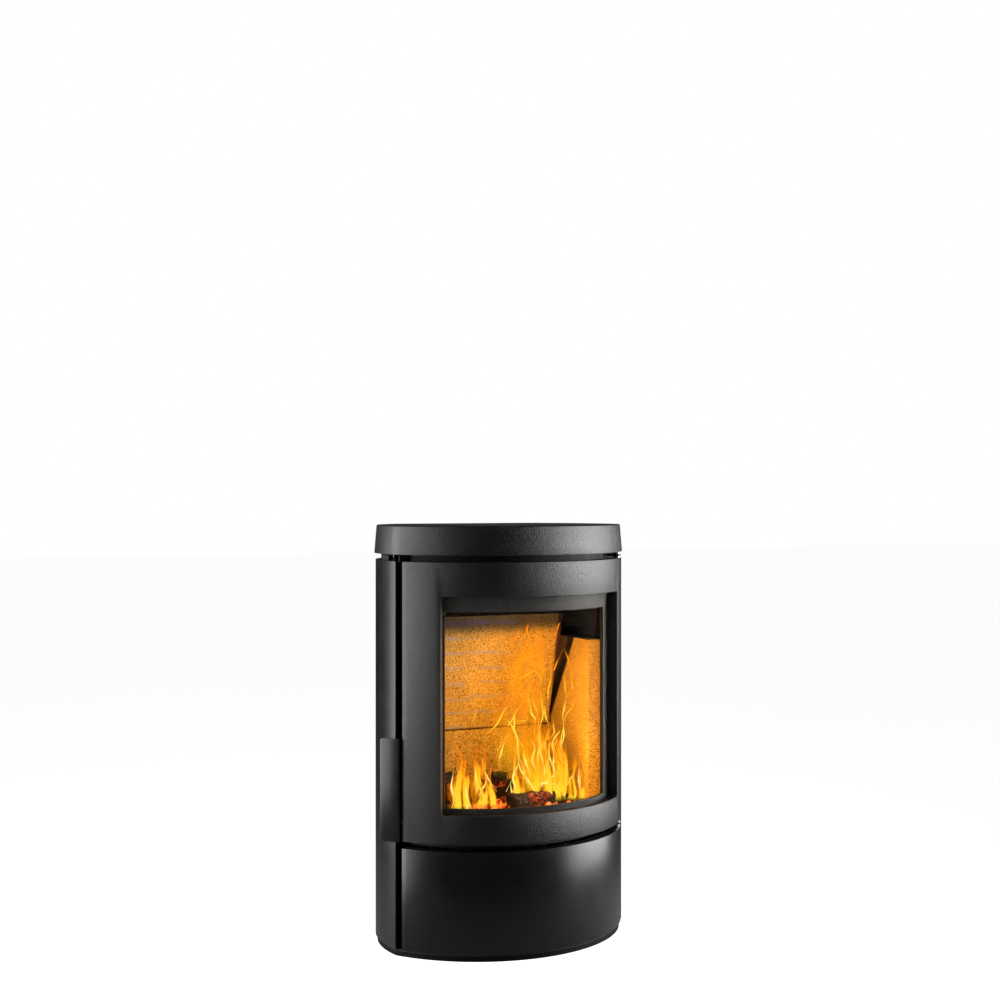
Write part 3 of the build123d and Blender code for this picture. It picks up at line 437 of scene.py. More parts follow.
# Painted shadow of the leaning slab on the brick: black along the slab's line and brown further back,
# over the brick's own colour.
shadowed_slope = reckon(shadowed_tree, "MULTIPLY_ADD", None, 0.577)
shadow_wedge_mask = fade(shadowed_tree, -0.158, -0.151)
shadow_brown_mask = fade(shadowed_tree, -0.138, -0.124)
shadow_wedge_tone = add_node(
    shadowed_tree, "ShaderNodeMixRGB", {"blend_type": "MIX"},
    Color1=rgb(0.004, 0.003, 0.0025), Color2=rgb(0.085, 0.045, 0.020),
)
shadow_wedge_mix = add_node(shadowed_tree, "ShaderNodeMixRGB", {"blend_type": "MIX"})
join(shadowed_tree, shadowed_place.outputs["Object"], shadowed_parts.inputs[0])
join(shadowed_tree, shadowed_parts.outputs["Z"], shadowed_slope.inputs[0])
join(shadowed_tree, shadowed_parts.outputs["Y"], shadowed_slope.inputs[2])
join(shadowed_tree, shadowed_slope.outputs[0], shadow_wedge_mask.inputs["Value"])
join(shadowed_tree, shadowed_slope.outputs[0], shadow_brown_mask.inputs["Value"])
join(shadowed_tree, shadow_brown_mask.outputs[0], shadow_wedge_tone.inputs[0])
join(shadowed_tree, shadow_wedge_mask.outputs[0], shadow_wedge_mix.inputs[0])
join(shadowed_tree, shadowed_old, shadow_wedge_mix.inputs[1])
join(shadowed_tree, shadow_wedge_tone.outputs[0], shadow_wedge_mix.inputs[2])
join(shadowed_tree, shadow_wedge_mix.outputs[0], shadowed_surface.inputs["Base Color"])

# Finishes of the CAD pieces: black heat-proof paint on castings and sheet, bare steel where parts
# slide or turn, zinc on the ducts and the ash pan, soot and scale where the fire is.
dress(cast_paint, "top_plate", "door_casting")
dress(sheet_paint, "right_side_panel", "left_side_panel", "lower_front")
dress(handle_paint, "door_handle")
dress(tray_paint, "plinth")
dress(
    inner_paint, "front_frame", "glass_frame", "panel_hangers", "hinge_lugs", "latch_arms",
    "latch_keepers", "base_plate", "handle_bracket", "back_panel", "hanging_bar", "wall_bracket",
    "flue_collar", "lower_front_strike", "catch_bracket", "air_knob", "riddle_knob",
    "ash_pan_handle", "top_outlet_cover", "right_inner_jacket", "left_inner_jacket", "spacer_pads",
)
dress(
    bright_steel, "hinge_pins", "hinge_washers", "handle_pin", "latch_rollers", "glass_screws",
    "riddle_rod", "air_slide",
)
dress(
    galvanised_sheet, "air_duct", "air_spigot", "ash_housing", "ash_pan", "riddle_guides",
    "air_guides", "riddle_plate",
)
dress(burnt_steel, "firebox_back_wall", "firebox_floor", "firebox_top")
dress(soot, "firebox_right_wall", "firebox_left_wall", "baffle_ledges", "baffle")
dress(raw_casting, "grate")
dress(painted_shadow_brick, "right_side_brick")
dress(vermiculite, "left_side_brick", "lower_back_brick", "base_bricks")
dress(worn_and_shaded_slab, "upper_back_brick")
dress(seal_rope, "glass_seal", "door_seal")
dress(ferrite, "catch_magnet")

# Painted shell: castings and sheet parts whose sharp edges are eased by a touch of the file and
# the thickness of the paint, so that each edge catches a thin line of light.


def merged_copy(name, node):
    """A copy of a CAD piece with its seams merged, ready to be worked on."""
    piece = nodes[node].copy()
    piece.data = nodes[node].data.copy()
    piece.name = name
    piece.parent = None
    bpy.context.scene.collection.objects.link(piece)
    bpy.ops.object.select_all(action="DESELECT")
    piece.select_set(True)
    bpy.context.view_layer.objects.active = piece
    bpy.ops.object.mode_set(mode="EDIT")
    bpy.ops.mesh.select_all(action="SELECT")
    bpy.ops.mesh.remove_doubles(threshold=0.00001)
    bpy.ops.mesh.dissolve_limited(angle_limit=math.radians(0.2))
    bpy.ops.mesh.normals_make_consistent(inside=False)
    bpy.ops.object.mode_set(mode="OBJECT")
    if piece.data.has_custom_normals:
        bpy.ops.mesh.customdata_custom_splitnormals_clear()
    return piece


def stand_for(piece, node, body):
    """Lets a finished piece ride on its body in the place of a CAD piece."""
    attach(piece, body)
    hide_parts(node)


def eased(name, node, width, body):
    """A merged copy with a narrow bevel along its sharp edges."""
    piece = merged_copy(name, node)
    bevel = piece.modifiers.new("eased_edges", "BEVEL")
    bevel.width = width
    bevel.segments = 2
    bevel.limit_method = "ANGLE"
    bevel.angle_limit = math.radians(40.0)
    bpy.ops.object.modifier_apply(modifier="eased_edges")
    bpy.ops.object.shade_smooth_by_angle(angle=math.radians(32.0))
    stand_for(piece, node, body)
    return piece


eased("door_frame", "door_casting", 0.0010, "door")
eased("top_casting", "top_plate", 0.0010, "stove")
eased("lower_front_sheet", "lower_front", 0.0005, "lower_door")
eased("handle_blade", "door_handle", 0.0005, "handle")

# Clamp frame: the folded steel ring that holds the pane from inside, screwed to the door. Its left
# bar is slim, so that it stays hidden behind the door's rim.
clamp = merged_copy("clamp_frame", "glass_frame")
front_centre = -0.092
ring_radius = 0.262
cut_turn = math.radians(-38.65)
cut_width = 0.0116
cut_low, cut_high = -0.2033, 0.1473
bpy.ops.object.select_all(action="DESELECT")
bpy.ops.mesh.primitive_cube_add(
    size=1.0, rotation=(0.0, 0.0, cut_turn),
    location=(
        ring_radius * math.sin(cut_turn),
        front_centre - ring_radius * math.cos(cut_turn),
        (cut_low + cut_high) / 2,
    ),
    scale=(cut_width, 0.05, cut_high - cut_low),
)
cutter = bpy.context.object
trim = clamp.modifiers.new("trim", "BOOLEAN")
trim.operation = "DIFFERENCE"
trim.object = cutter
bpy.context.view_layer.objects.active = clamp
bpy.ops.object.modifier_apply(modifier="trim")
bpy.data.objects.remove(cutter)
bpy.ops.object.select_all(action="DESELECT")
clamp.select_set(True)
bpy.ops.object.shade_smooth_by_angle(angle=math.radians(32.0))
stand_for(clamp, "glass_frame", "door")

# Door glass: a bent pane of heat-proof glass ceramic, faintly amber as it is in life, held in the
# door by the clamp frame.
pane, pane_tree, pane_surface = new_material("glass_ceramic")
pane_surface.inputs["Transmission Weight"].default_value = 1.0
pane_surface.inputs["IOR"].default_value = 1.02
pane_film = add_node(pane_tree, "ShaderNodeTexNoise", Scale=14.0, Detail=4.0)
pane_place = add_node(pane_tree, "ShaderNodeTexCoord")
pane_tint = ramp(pane_tree, (0.0, rgb(0.95, 0.92, 0.86)), (1.0, rgb(1.0, 0.98, 0.94)))
pane_gloss = add_node(pane_tree, "ShaderNodeMapRange", To_Min=0.0, To_Max=0.03)
join(pane_tree, pane_place.outputs["Object"], pane_film.inputs["Vector"])
join(pane_tree, pane_film.outputs[0], pane_tint.inputs[0])
join(pane_tree, pane_film.outputs[0], pane_gloss.inputs["Value"])
join(pane_tree, pane_tint.outputs[0], pane_surface.inputs["Base Color"])
join(pane_tree, pane_gloss.outputs[0], pane_surface.inputs["Roughness"])
dress(pane, "door_glass")

# Firelight: what the flames throw on the lining, from two places among them. The fire burns on
# the hearth bricks and the grate.
hearth = -0.232


def fire_lamp(name, kind, place, power):
    """The light that the flames throw on the lining; only what it lights is seen."""
    lamp_data = bpy.data.lights.new(name, kind)
    lamp_data.color = (1.0, 0.42, 0.035)
    lamp_data.energy = power
    lamp = bpy.data.objects.new(name, lamp_data)
    bpy.context.scene.collection.objects.link(lamp)
    lamp.location = place
    lamp.visible_camera = False
    lamp.visible_transmission = False
    lamp.visible_glossy = False
    return lamp


for name, place, power in (
    ("fire_lamp_low", (0.04, -0.280, -0.13), 2.1),
    ("fire_lamp_high", (0.06, -0.275, 0.02), 0.95),
):
    fire_lamp(name, "POINT", place, power).data.shadow_soft_size = 0.05

# The flames nearest the glass also light the front end of the right side brick: a slim upright
# strip of light, turned towards the back.
edge_glow = fire_lamp("edge_glow", "AREA", (0.156, -0.283, -0.07), 0.075)
edge_glow.data.shape = "RECTANGLE"
edge_glow.data.size = 0.010
edge_glow.data.size_y = 0.34
edge_glow.rotation_euler = Vector((0.0, 1.0, 0.0)).to_track_quat("-Z", "Y").to_euler()

# Logs: split billets that have burnt black and cracked, with red heat in some of the cracks. They
# lie loose where they were laid, one leaning on the others.
char, char_tree, char_surface = new_material("charred_wood")
char_place = add_node(char_tree, "ShaderNodeTexCoord")
char_cracks = add_node(
    char_tree, "ShaderNodeTexVoronoi", {"feature": "DISTANCE_TO_EDGE"}, Scale=150.0, Randomness=1.0
)
char_stretch = add_node(char_tree, "ShaderNodeMapping")
char_stretch.inputs["Scale"].default_value = (0.55, 1.0, 1.0)
char_zone = add_node(char_tree, "ShaderNodeTexNoise", Scale=26.0, Detail=3.0)
char_grain = add_node(char_tree, "ShaderNodeTexNoise", Scale=260.0, Detail=4.0)
char_heat = add_node(char_tree, "ShaderNodeMapRange", From_Min=0.12, From_Max=0.0)
char_mask = add_node(char_tree, "ShaderNodeMapRange", From_Min=0.54, From_Max=0.74)
char_glow = reckon(char_tree, "MULTIPLY")
char_fire = ramp(
    char_tree, (0.08, rgb(0.0, 0.0, 0.0)), (0.45, rgb(0.75, 0.06, 0.006)), (1.0, rgb(1.0, 0.42, 0.06)),
)
char_coal = ramp(char_tree, (0.0, rgb(0.0015, 0.0012, 0.0011)), (1.0, rgb(0.014, 0.006, 0.004)))
char_relief = add_node(char_tree, "ShaderNodeBump", Strength=1.0, Distance=0.003)
join(char_tree, char_place.outputs["Object"], char_stretch.inputs["Vector"])
join(char_tree, char_stretch.outputs[0], char_cracks.inputs["Vector"])
join(char_tree, char_place.outputs["Object"], char_zone.inputs["Vector"])
join(char_tree, char_place.outputs["Object"], char_grain.inputs["Vector"])
join(char_tree, char_cracks.outputs["Distance"], char_heat.inputs["Value"])
join(char_tree, char_zone.outputs[0], char_mask.inputs["Value"])
join(char_tree, char_heat.outputs[0], char_glow.inputs[0])
join(char_tree, char_mask.outputs[0], char_glow.inputs[1])
join(char_tree, char_glow.outputs[0], char_fire.inputs[0])
join(char_tree, char_grain.outputs[0], char_coal.inputs[0])
join(char_tree, char_coal.outputs[0], char_surface.inputs["Base Color"])
join(char_tree, char_fire.outputs[0], char_surface.inputs["Emission Color"])
join(char_tree, char_cracks.outputs["Distance"], char_relief.inputs["Height"])
join(char_tree, char_relief.outputs[0], char_surface.inputs["Normal"])
char_surface.inputs["Emission Strength"].default_value = 1.1
char_surface.inputs["Roughness"].default_value = 0.85


def log_piece(name, start, end, radius):
    """A split log: a rough round billet whose bark and burnt faces are pushed in and out."""
    start, end = Vector(start), Vector(end)
    run = end - start
    bpy.ops.object.select_all(action="DESELECT")
    bpy.ops.mesh.primitive_cylinder_add(
        vertices=28, radius=radius, depth=run.length, location=(start + end) / 2,
        rotation=run.to_track_quat("Z", "Y").to_euler(),
    )
    piece = bpy.context.object
    piece.name = name
    bpy.ops.object.mode_set(mode="EDIT")
    bpy.ops.mesh.select_all(action="SELECT")
    bpy.ops.mesh.bisect(
        plane_co=(start + end) / 2 + Vector((0.0, 0.25 * radius, 0.45 * radius)),
        plane_no=(0.1, 0.55, 0.83), use_fill=True, clear_outer=True,
    )
    bpy.ops.object.mode_set(mode="OBJECT")
    remesh = piece.modifiers.new("even", "REMESH")
    remesh.mode = "VOXEL"
    remesh.voxel_size = 0.0032
    bpy.ops.object.modifier_apply(modifier="even")
    bpy.ops.object.transform_apply(location=True, rotation=True, scale=True)
    lumps = bpy.data.textures.new(name + "_lumps", "CLOUDS")
    lumps.noise_scale = 0.022
    lumps.noise_depth = 3
    swell = piece.modifiers.new("lumps", "DISPLACE")
    swell.texture = lumps
    swell.texture_coords = "GLOBAL"
    swell.strength = 0.013
    swell.mid_level = 0.62
    bpy.ops.object.modifier_apply(modifier="lumps")
    bpy.ops.object.shade_smooth()
    piece.data.materials.append(char)
    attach(piece, "stove")
    return piece


log_piece("log_left", (-0.142, -0.205, hearth + 0.042), (-0.035, -0.150, hearth + 0.034), 0.036)
log_piece("log_front", (-0.01, -0.244, hearth + 0.016), (0.140, -0.212, hearth + 0.020), 0.019)
log_piece("log_back", (-0.06, -0.150, hearth + 0.022), (0.125, -0.142, hearth + 0.026), 0.026)
log_piece("log_top", (-0.004, -0.150, hearth + 0.012), (-0.012, -0.206, hearth + 0.074), 0.019)

# Embers: lumps of glowing charcoal that have dropped from the logs and lie loose on the hearth,
# dark where they have cooled.
ember, ember_tree, ember_surface = new_material("ember")
ember_place = add_node(ember_tree, "ShaderNodeTexCoord")
ember_noise = add_node(ember_tree, "ShaderNodeTexNoise", Scale=90.0, Detail=4.0)
ember_heat = ramp(
    ember_tree, (0.36, rgb(0.01, 0.0, 0.0)), (0.47, rgb(0.62, 0.035, 0.002)),
    (0.62, rgb(1.0, 0.35, 0.03)),
)
ember_skin = ramp(ember_tree, (0.0, rgb(0.006, 0.005, 0.005)), (1.0, rgb(0.12, 0.10, 0.09)))
join(ember_tree, ember_place.outputs["Object"], ember_noise.inputs["Vector"])
join(ember_tree, ember_noise.outputs[0], ember_heat.inputs[0])
join(ember_tree, ember_noise.outputs[0], ember_skin.inputs[0])
join(ember_tree, ember_heat.outputs[0], ember_surface.inputs["Emission Color"])
join(ember_tree, ember_skin.outputs[0], ember_surface.inputs["Base Color"])
ember_surface.inputs["Emission Strength"].default_value = 1.3
ember_surface.inputs["Roughness"].default_value = 0.9

draw = random.Random(7)
bpy.ops.object.select_all(action="DESELECT")
coals = []
for index in range(90):
    size = draw.uniform(0.004, 0.0095)
    bpy.ops.mesh.primitive_ico_sphere_add(
        subdivisions=2, radius=size,
        location=(draw.uniform(-0.135, 0.135), draw.uniform(-0.247, -0.12), hearth + size * 0.7),
        rotation=(draw.uniform(0, 3), draw.uniform(0, 3), draw.uniform(0, 3)),
        scale=(draw.uniform(0.7, 1.4), draw.uniform(0.7, 1.2), draw.uniform(0.6, 1.0)),
    )
    coals.append(bpy.context.object)
for coal in coals:
    coal.select_set(True)
bpy.context.view_layer.objects.active = coals[0]
bpy.ops.object.join()
embers = bpy.context.object
embers.name = "embers"
bpy.ops.object.transform_apply(location=True, rotation=True, scale=True)
chips = bpy.data.textures.new("ember_chips", "CLOUDS")
chips.noise_scale = 0.006
rough = embers.modifiers.new("chips", "DISPLACE")
rough.texture = chips
rough.texture_coords = "GLOBAL"
rough.strength = 0.003
bpy.ops.object.modifier_apply(modifier="chips")
embers.data.materials.append(ember)
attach(embers, "stove")

# Flames: tongues of burning gas, hottest and palest near the wood. Each is a thin cupped sheet
# that lets the bricks show through where the gas is thin.


def burning_gas(surface, strength):
    """A surface that only glows: it mirrors nothing and has no colour of its own."""
    surface.inputs["Emission Strength"].default_value = strength
    surface.inputs["Base Color"].default_value = rgb(0.0, 0.0, 0.0)
    surface.inputs["Roughness"].default_value = 1.0
    surface.inputs["Specular IOR Level"].default_value = 0.0


flame, flame_tree, flame_surface = new_material("flame")
flame_uv = add_node(flame_tree, "ShaderNodeUVMap")
flame_split = add_node(flame_tree, "ShaderNodeSeparateXYZ")
flame_place = add_node(flame_tree, "ShaderNodeTexCoord")
flame_stretch = add_node(flame_tree, "ShaderNodeMapping")
flame_stretch.inputs["Scale"].default_value = (70.0, 70.0, 17.0)
flame_wave = add_node(flame_tree, "ShaderNodeTexNoise", Scale=1.0, Detail=3.0, Distortion=0.8)
flame_shift = reckon(flame_tree, "MULTIPLY_ADD", None, 0.55, -0.275)
flame_across = reckon(flame_tree, "ADD")
flame_centre = reckon(flame_tree, "SUBTRACT", None, 0.5)
flame_edge = reckon(flame_tree, "ABSOLUTE")
flame_body = fade(flame_tree, 0.46, 0.12)
flame_holes = add_node(flame_tree, "ShaderNodeMapRange", {"interpolation_type": "SMOOTHSTEP"})
flame_limit = reckon(flame_tree, "MULTIPLY_ADD", None, 0.32, 0.17)
flame_limit_top = reckon(flame_tree, "ADD", None, 0.22)
flame_fade = fade(flame_tree, 1.0, 0.55)
flame_root = fade(flame_tree, 0.0, 0.10)
flame_torn = reckon(flame_tree, "MULTIPLY")
flame_faded = reckon(flame_tree, "MULTIPLY")
flame_alpha = reckon(flame_tree, "MULTIPLY")
flame_thin = reckon(flame_tree, "SUBTRACT", 1.0)
flame_rise = reckon(flame_tree, "MULTIPLY", None, 0.55)
flame_hot = reckon(flame_tree, "MULTIPLY_ADD", None, 0.75)
flame_colour = ramp(
    flame_tree, (0.12, rgb(1.0, 0.64, 0.035)), (0.36, rgb(1.0, 0.42, 0.006)),
    (0.66, rgb(0.95, 0.22, 0.003)), (1.0, rgb(0.75, 0.10, 0.002)),
)
join(flame_tree, flame_uv.outputs[0], flame_split.inputs[0])
join(flame_tree, flame_place.outputs["Object"], flame_stretch.inputs["Vector"])
join(flame_tree, flame_stretch.outputs[0], flame_wave.inputs["Vector"])
join(flame_tree, flame_wave.outputs[0], flame_shift.inputs[0])
join(flame_tree, flame_shift.outputs[0], flame_across.inputs[0])
join(flame_tree, flame_split.outputs["X"], flame_across.inputs[1])
join(flame_tree, flame_across.outputs[0], flame_centre.inputs[0])
join(flame_tree, flame_centre.outputs[0], flame_edge.inputs[0])
join(flame_tree, flame_edge.outputs[0], flame_body.inputs["Value"])
join(flame_tree, flame_split.outputs["Y"], flame_limit.inputs[0])
join(flame_tree, flame_limit.outputs[0], flame_holes.inputs["From Min"])
join(flame_tree, flame_limit.outputs[0], flame_limit_top.inputs[0])
join(flame_tree, flame_limit_top.outputs[0], flame_holes.inputs["From Max"])
join(flame_tree, flame_wave.outputs[0], flame_holes.inputs["Value"])
join(flame_tree, flame_split.outputs["Y"], flame_fade.inputs["Value"])
join(flame_tree, flame_split.outputs["Y"], flame_root.inputs["Value"])
join(flame_tree, flame_body.outputs[0], flame_torn.inputs[0])
join(flame_tree, flame_holes.outputs[0], flame_torn.inputs[1])
join(flame_tree, flame_torn.outputs[0], flame_faded.inputs[0])
join(flame_tree, flame_fade.outputs[0], flame_faded.inputs[1])
join(flame_tree, flame_faded.outputs[0], flame_alpha.inputs[0])
join(flame_tree, flame_root.outputs[0], flame_alpha.inputs[1])
join(flame_tree, flame_alpha.outputs[0], flame_surface.inputs["Alpha"])
join(flame_tree, flame_torn.outputs[0], flame_thin.inputs[1])
join(flame_tree, flame_split.outputs["Y"], flame_rise.inputs[0])
join(flame_tree, flame_thin.outputs[0], flame_hot.inputs[0])
join(flame_tree, flame_rise.outputs[0], flame_hot.inputs[2])
join(flame_tree, flame_hot.outputs[0], flame_colour.inputs[0])
join(flame_tree, flame_colour.outputs[0], flame_surface.inputs["Emission Color"])
burning_gas(flame_surface, 1.15)

full_turn = 6.28


def tongue(name, root, height, width, lean, sway, seed):
    """One flame: a tall narrow sheet, cupped across, that tapers and sways as it rises."""
    luck = random.Random(seed)
    bpy.ops.object.select_all(action="DESELECT")
    bpy.ops.mesh.primitive_grid_add(x_subdivisions=8, y_subdivisions=36, size=1.0)
    sheet = bpy.context.object
    sheet.name = name
    phase = luck.uniform(0.0, full_turn)
    turns = luck.uniform(0.8, 1.6)
    twist = luck.uniform(-0.7, 0.7)
    facing = math.radians(-25.0) + luck.uniform(-0.35, 0.35)
    for vertex in sheet.data.vertices:
        across, up = vertex.co.x, vertex.co.y + 0.5
        spread = width * (0.55 + 0.9 * up) * (1.0 - up) ** 0.75 + 0.0012
        swing = sway * up * math.sin(phase + full_turn * turns * up)
        turn = facing + twist * up
        bow = spread * 0.45 * (1.0 - 4.0 * across * across)
        vertex.co = (
            root[0] + lean * up + swing + spread * across * math.cos(turn) - bow * math.sin(turn),
            root[1] + spread * across * math.sin(turn) - bow * math.cos(turn),
            root[2] + height * up,
        )
    bpy.ops.object.shade_smooth()
    sheet.data.materials.append(flame)
    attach(sheet, "stove")
    return sheet


# Each row: place along the hearth and into it, height, width, lean and sway.
tongue_rows = (
    (-0.119, -0.232, 0.128, 0.046, 0.012, 0.014), (-0.096, -0.228, 0.100, 0.040, -0.014, 0.010),
    (-0.066, -0.222, 0.136, 0.070, 0.000, 0.006), (-0.040, -0.228, 0.100, 0.036, -0.014, 0.008),
    (-0.002, -0.230, 0.122, 0.044, 0.012, 0.012), (0.018, -0.234, 0.090, 0.034, 0.004, 0.008),
    (0.048, -0.226, 0.150, 0.044, -0.006, 0.014), (0.068, -0.228, 0.185, 0.050, 0.000, 0.014),
    (0.090, -0.230, 0.165, 0.046, 0.004, 0.012), (0.108, -0.226, 0.190, 0.038, 0.004, 0.014),
    (0.122, -0.232, 0.094, 0.040, 0.004, 0.010), (0.146, -0.234, 0.078, 0.030, -0.004, 0.006),
)
for index, (x, y, height, width, lean, sway) in enumerate(tongue_rows):
    tongue(f"flame_{index + 1:02d}", (x, y, hearth + 0.010), height, width, lean, sway, index + 11)

# Haze: above the tongues the gas burns thin and orange. It hangs in soft clouds on a few broad
# sheets among the flames.
haze, haze_tree, haze_surface = new_material("flame_haze")
haze_place = add_node(haze_tree, "ShaderNodeTexCoord")
haze_uv = add_node(haze_tree, "ShaderNodeUVMap")
haze_split = add_node(haze_tree, "ShaderNodeSeparateXYZ")
haze_tall = add_node(haze_tree, "ShaderNodeMapping")
haze_tall.inputs["Scale"].default_value = (1.0, 1.0, 0.34)
haze_swirl = add_node(haze_tree, "ShaderNodeTexNoise", Scale=20.0, Detail=0.0)
haze_push = add_node(haze_tree, "ShaderNodeVectorMath", {"operation": "MULTIPLY_ADD"})
haze_push.inputs[1].default_value = (0.07, 0.07, 0.035)
haze_cloud = add_node(haze_tree, "ShaderNodeTexNoise", Scale=19.0, Detail=3.0)
haze_thick = fade(haze_tree, 0.36, 0.66)
haze_soft = reckon(haze_tree, "MULTIPLY", None, 0.62)
haze_shift = reckon(haze_tree, "MULTIPLY_ADD", None, 0.5, -0.25)
haze_across = reckon(haze_tree, "ADD")
haze_centre = reckon(haze_tree, "SUBTRACT", None, 0.5)
haze_side = reckon(haze_tree, "ABSOLUTE")
haze_edge = fade(haze_tree, 0.48, 0.24)
haze_top = fade(haze_tree, 1.0, 0.55)
haze_root = fade(haze_tree, 0.0, 0.14)
haze_narrowed = reckon(haze_tree, "MULTIPLY")
haze_faded = reckon(haze_tree, "MULTIPLY")
haze_alpha = reckon(haze_tree, "MULTIPLY")
haze_alpha.use_clamp = True
haze_cool = ramp(
    haze_tree, (0.05, rgb(1.0, 0.56, 0.014)), (0.4, rgb(1.0, 0.35, 0.004)),
    (0.9, rgb(0.90, 0.16, 0.006)),
)
join(haze_tree, haze_place.outputs["Object"], haze_tall.inputs["Vector"])
join(haze_tree, haze_tall.outputs[0], haze_swirl.inputs["Vector"])
join(haze_tree, haze_swirl.outputs["Color"], haze_push.inputs[0])
join(haze_tree, haze_tall.outputs[0], haze_push.inputs[2])
join(haze_tree, haze_push.outputs[0], haze_cloud.inputs["Vector"])
join(haze_tree, haze_cloud.outputs[0], haze_thick.inputs["Value"])
join(haze_tree, haze_thick.outputs[0], haze_soft.inputs[0])
join(haze_tree, haze_uv.outputs[0], haze_split.inputs[0])
join(haze_tree, haze_swirl.outputs[0], haze_shift.inputs[0])
join(haze_tree, haze_split.outputs["X"], haze_across.inputs[0])
join(haze_tree, haze_shift.outputs[0], haze_across.inputs[1])
join(haze_tree, haze_across.outputs[0], haze_centre.inputs[0])
join(haze_tree, haze_centre.outputs[0], haze_side.inputs[0])
join(haze_tree, haze_side.outputs[0], haze_edge.inputs["Value"])
join(haze_tree, haze_split.outputs["Y"], haze_top.inputs["Value"])
join(haze_tree, haze_split.outputs["Y"], haze_root.inputs["Value"])
join(haze_tree, haze_soft.outputs[0], haze_narrowed.inputs[0])
join(haze_tree, haze_edge.outputs[0], haze_narrowed.inputs[1])
join(haze_tree, haze_narrowed.outputs[0], haze_faded.inputs[0])
join(haze_tree, haze_top.outputs[0], haze_faded.inputs[1])
join(haze_tree, haze_faded.outputs[0], haze_alpha.inputs[0])
join(haze_tree, haze_root.outputs[0], haze_alpha.inputs[1])
join(haze_tree, haze_alpha.outputs[0], haze_surface.inputs["Alpha"])
join(haze_tree, haze_split.outputs["Y"], haze_cool.inputs[0])
join(haze_tree, haze_cool.outputs[0], haze_surface.inputs["Emission Color"])
burning_gas(haze_surface, 1.3)

# Each row: place along the hearth and into it, height above it, then size, lean and sway.
veil_rows = (
    (0.038, -0.212, 0.020, 0.230, 0.110, 0.000, 0.010),
    (0.026, -0.206, 0.040, 0.260, 0.120, 0.006, 0.014),
    (-0.020, -0.208, 0.060, 0.190, 0.120, 0.010, 0.010),
    (0.084, -0.220, 0.010, 0.150, 0.100, 0.006, 0.008),
    (0.020, -0.226, 0.180, 0.180, 0.130, 0.012, 0.010),
    (0.052, -0.224, 0.040, 0.150, 0.080, 0.006, 0.014),
)
for index, (x, y, lift, height, width, lean, sway) in enumerate(veil_rows):
    veil = tongue(
        f"flame_veil_{index + 1}", (x, y, hearth + lift), height, width, lean, sway, index + 41
    )
    veil.data.materials.clear()
    veil.data.materials.append(haze)

# Strands: bright threads of burning gas that curl through the flames, the lowest almost white.
# Each is a narrow ribbon that bends as it rises.
strand_glow, strand_tree, strand_surface = new_material("flame_strand")
strand_uv = add_node(strand_tree, "ShaderNodeUVMap")
strand_split = add_node(strand_tree, "ShaderNodeSeparateXYZ")
strand_place = add_node(strand_tree, "ShaderNodeTexCoord")
strand_parts = add_node(strand_tree, "ShaderNodeSeparateXYZ")
strand_rise = add_node(strand_tree, "ShaderNodeMapRange", From_Min=hearth, From_Max=hearth + 0.34)
strand_centre = reckon(strand_tree, "SUBTRACT", None, 0.5)
strand_side = reckon(strand_tree, "ABSOLUTE")
strand_edge = fade(strand_tree, 0.5, 0.18)
strand_cool = reckon(strand_tree, "MULTIPLY_ADD", None, 0.5)
strand_fade = fade(strand_tree, 1.0, 0.75)
strand_alpha = reckon(strand_tree, "MULTIPLY")
strand_colour = ramp(
    strand_tree, (0.10, rgb(1.0, 0.84, 0.24)), (0.50, rgb(1.0, 0.70, 0.06)),
    (0.80, rgb(1.0, 0.44, 0.008)), (1.0, rgb(0.95, 0.24, 0.006)),
)
join(strand_tree, strand_uv.outputs[0], strand_split.inputs[0])
join(strand_tree, strand_split.outputs["X"], strand_centre.inputs[0])
join(strand_tree, strand_centre.outputs[0], strand_side.inputs[0])
join(strand_tree, strand_side.outputs[0], strand_edge.inputs["Value"])
join(strand_tree, strand_split.outputs["Y"], strand_fade.inputs["Value"])
join(strand_tree, strand_edge.outputs[0], strand_alpha.inputs[0])
join(strand_tree, strand_fade.outputs[0], strand_alpha.inputs[1])
join(strand_tree, strand_alpha.outputs[0], strand_surface.inputs["Alpha"])
join(strand_tree, strand_place.outputs["Object"], strand_parts.inputs[0])
join(strand_tree, strand_parts.outputs["Z"], strand_rise.inputs["Value"])
join(strand_tree, strand_side.outputs[0], strand_cool.inputs[0])
join(strand_tree, strand_rise.outputs[0], strand_cool.inputs[2])
join(strand_tree, strand_cool.outputs[0], strand_colour.inputs[0])
join(strand_tree, strand_colour.outputs[0], strand_surface.inputs["Emission Color"])
burning_gas(strand_surface, 1.2)


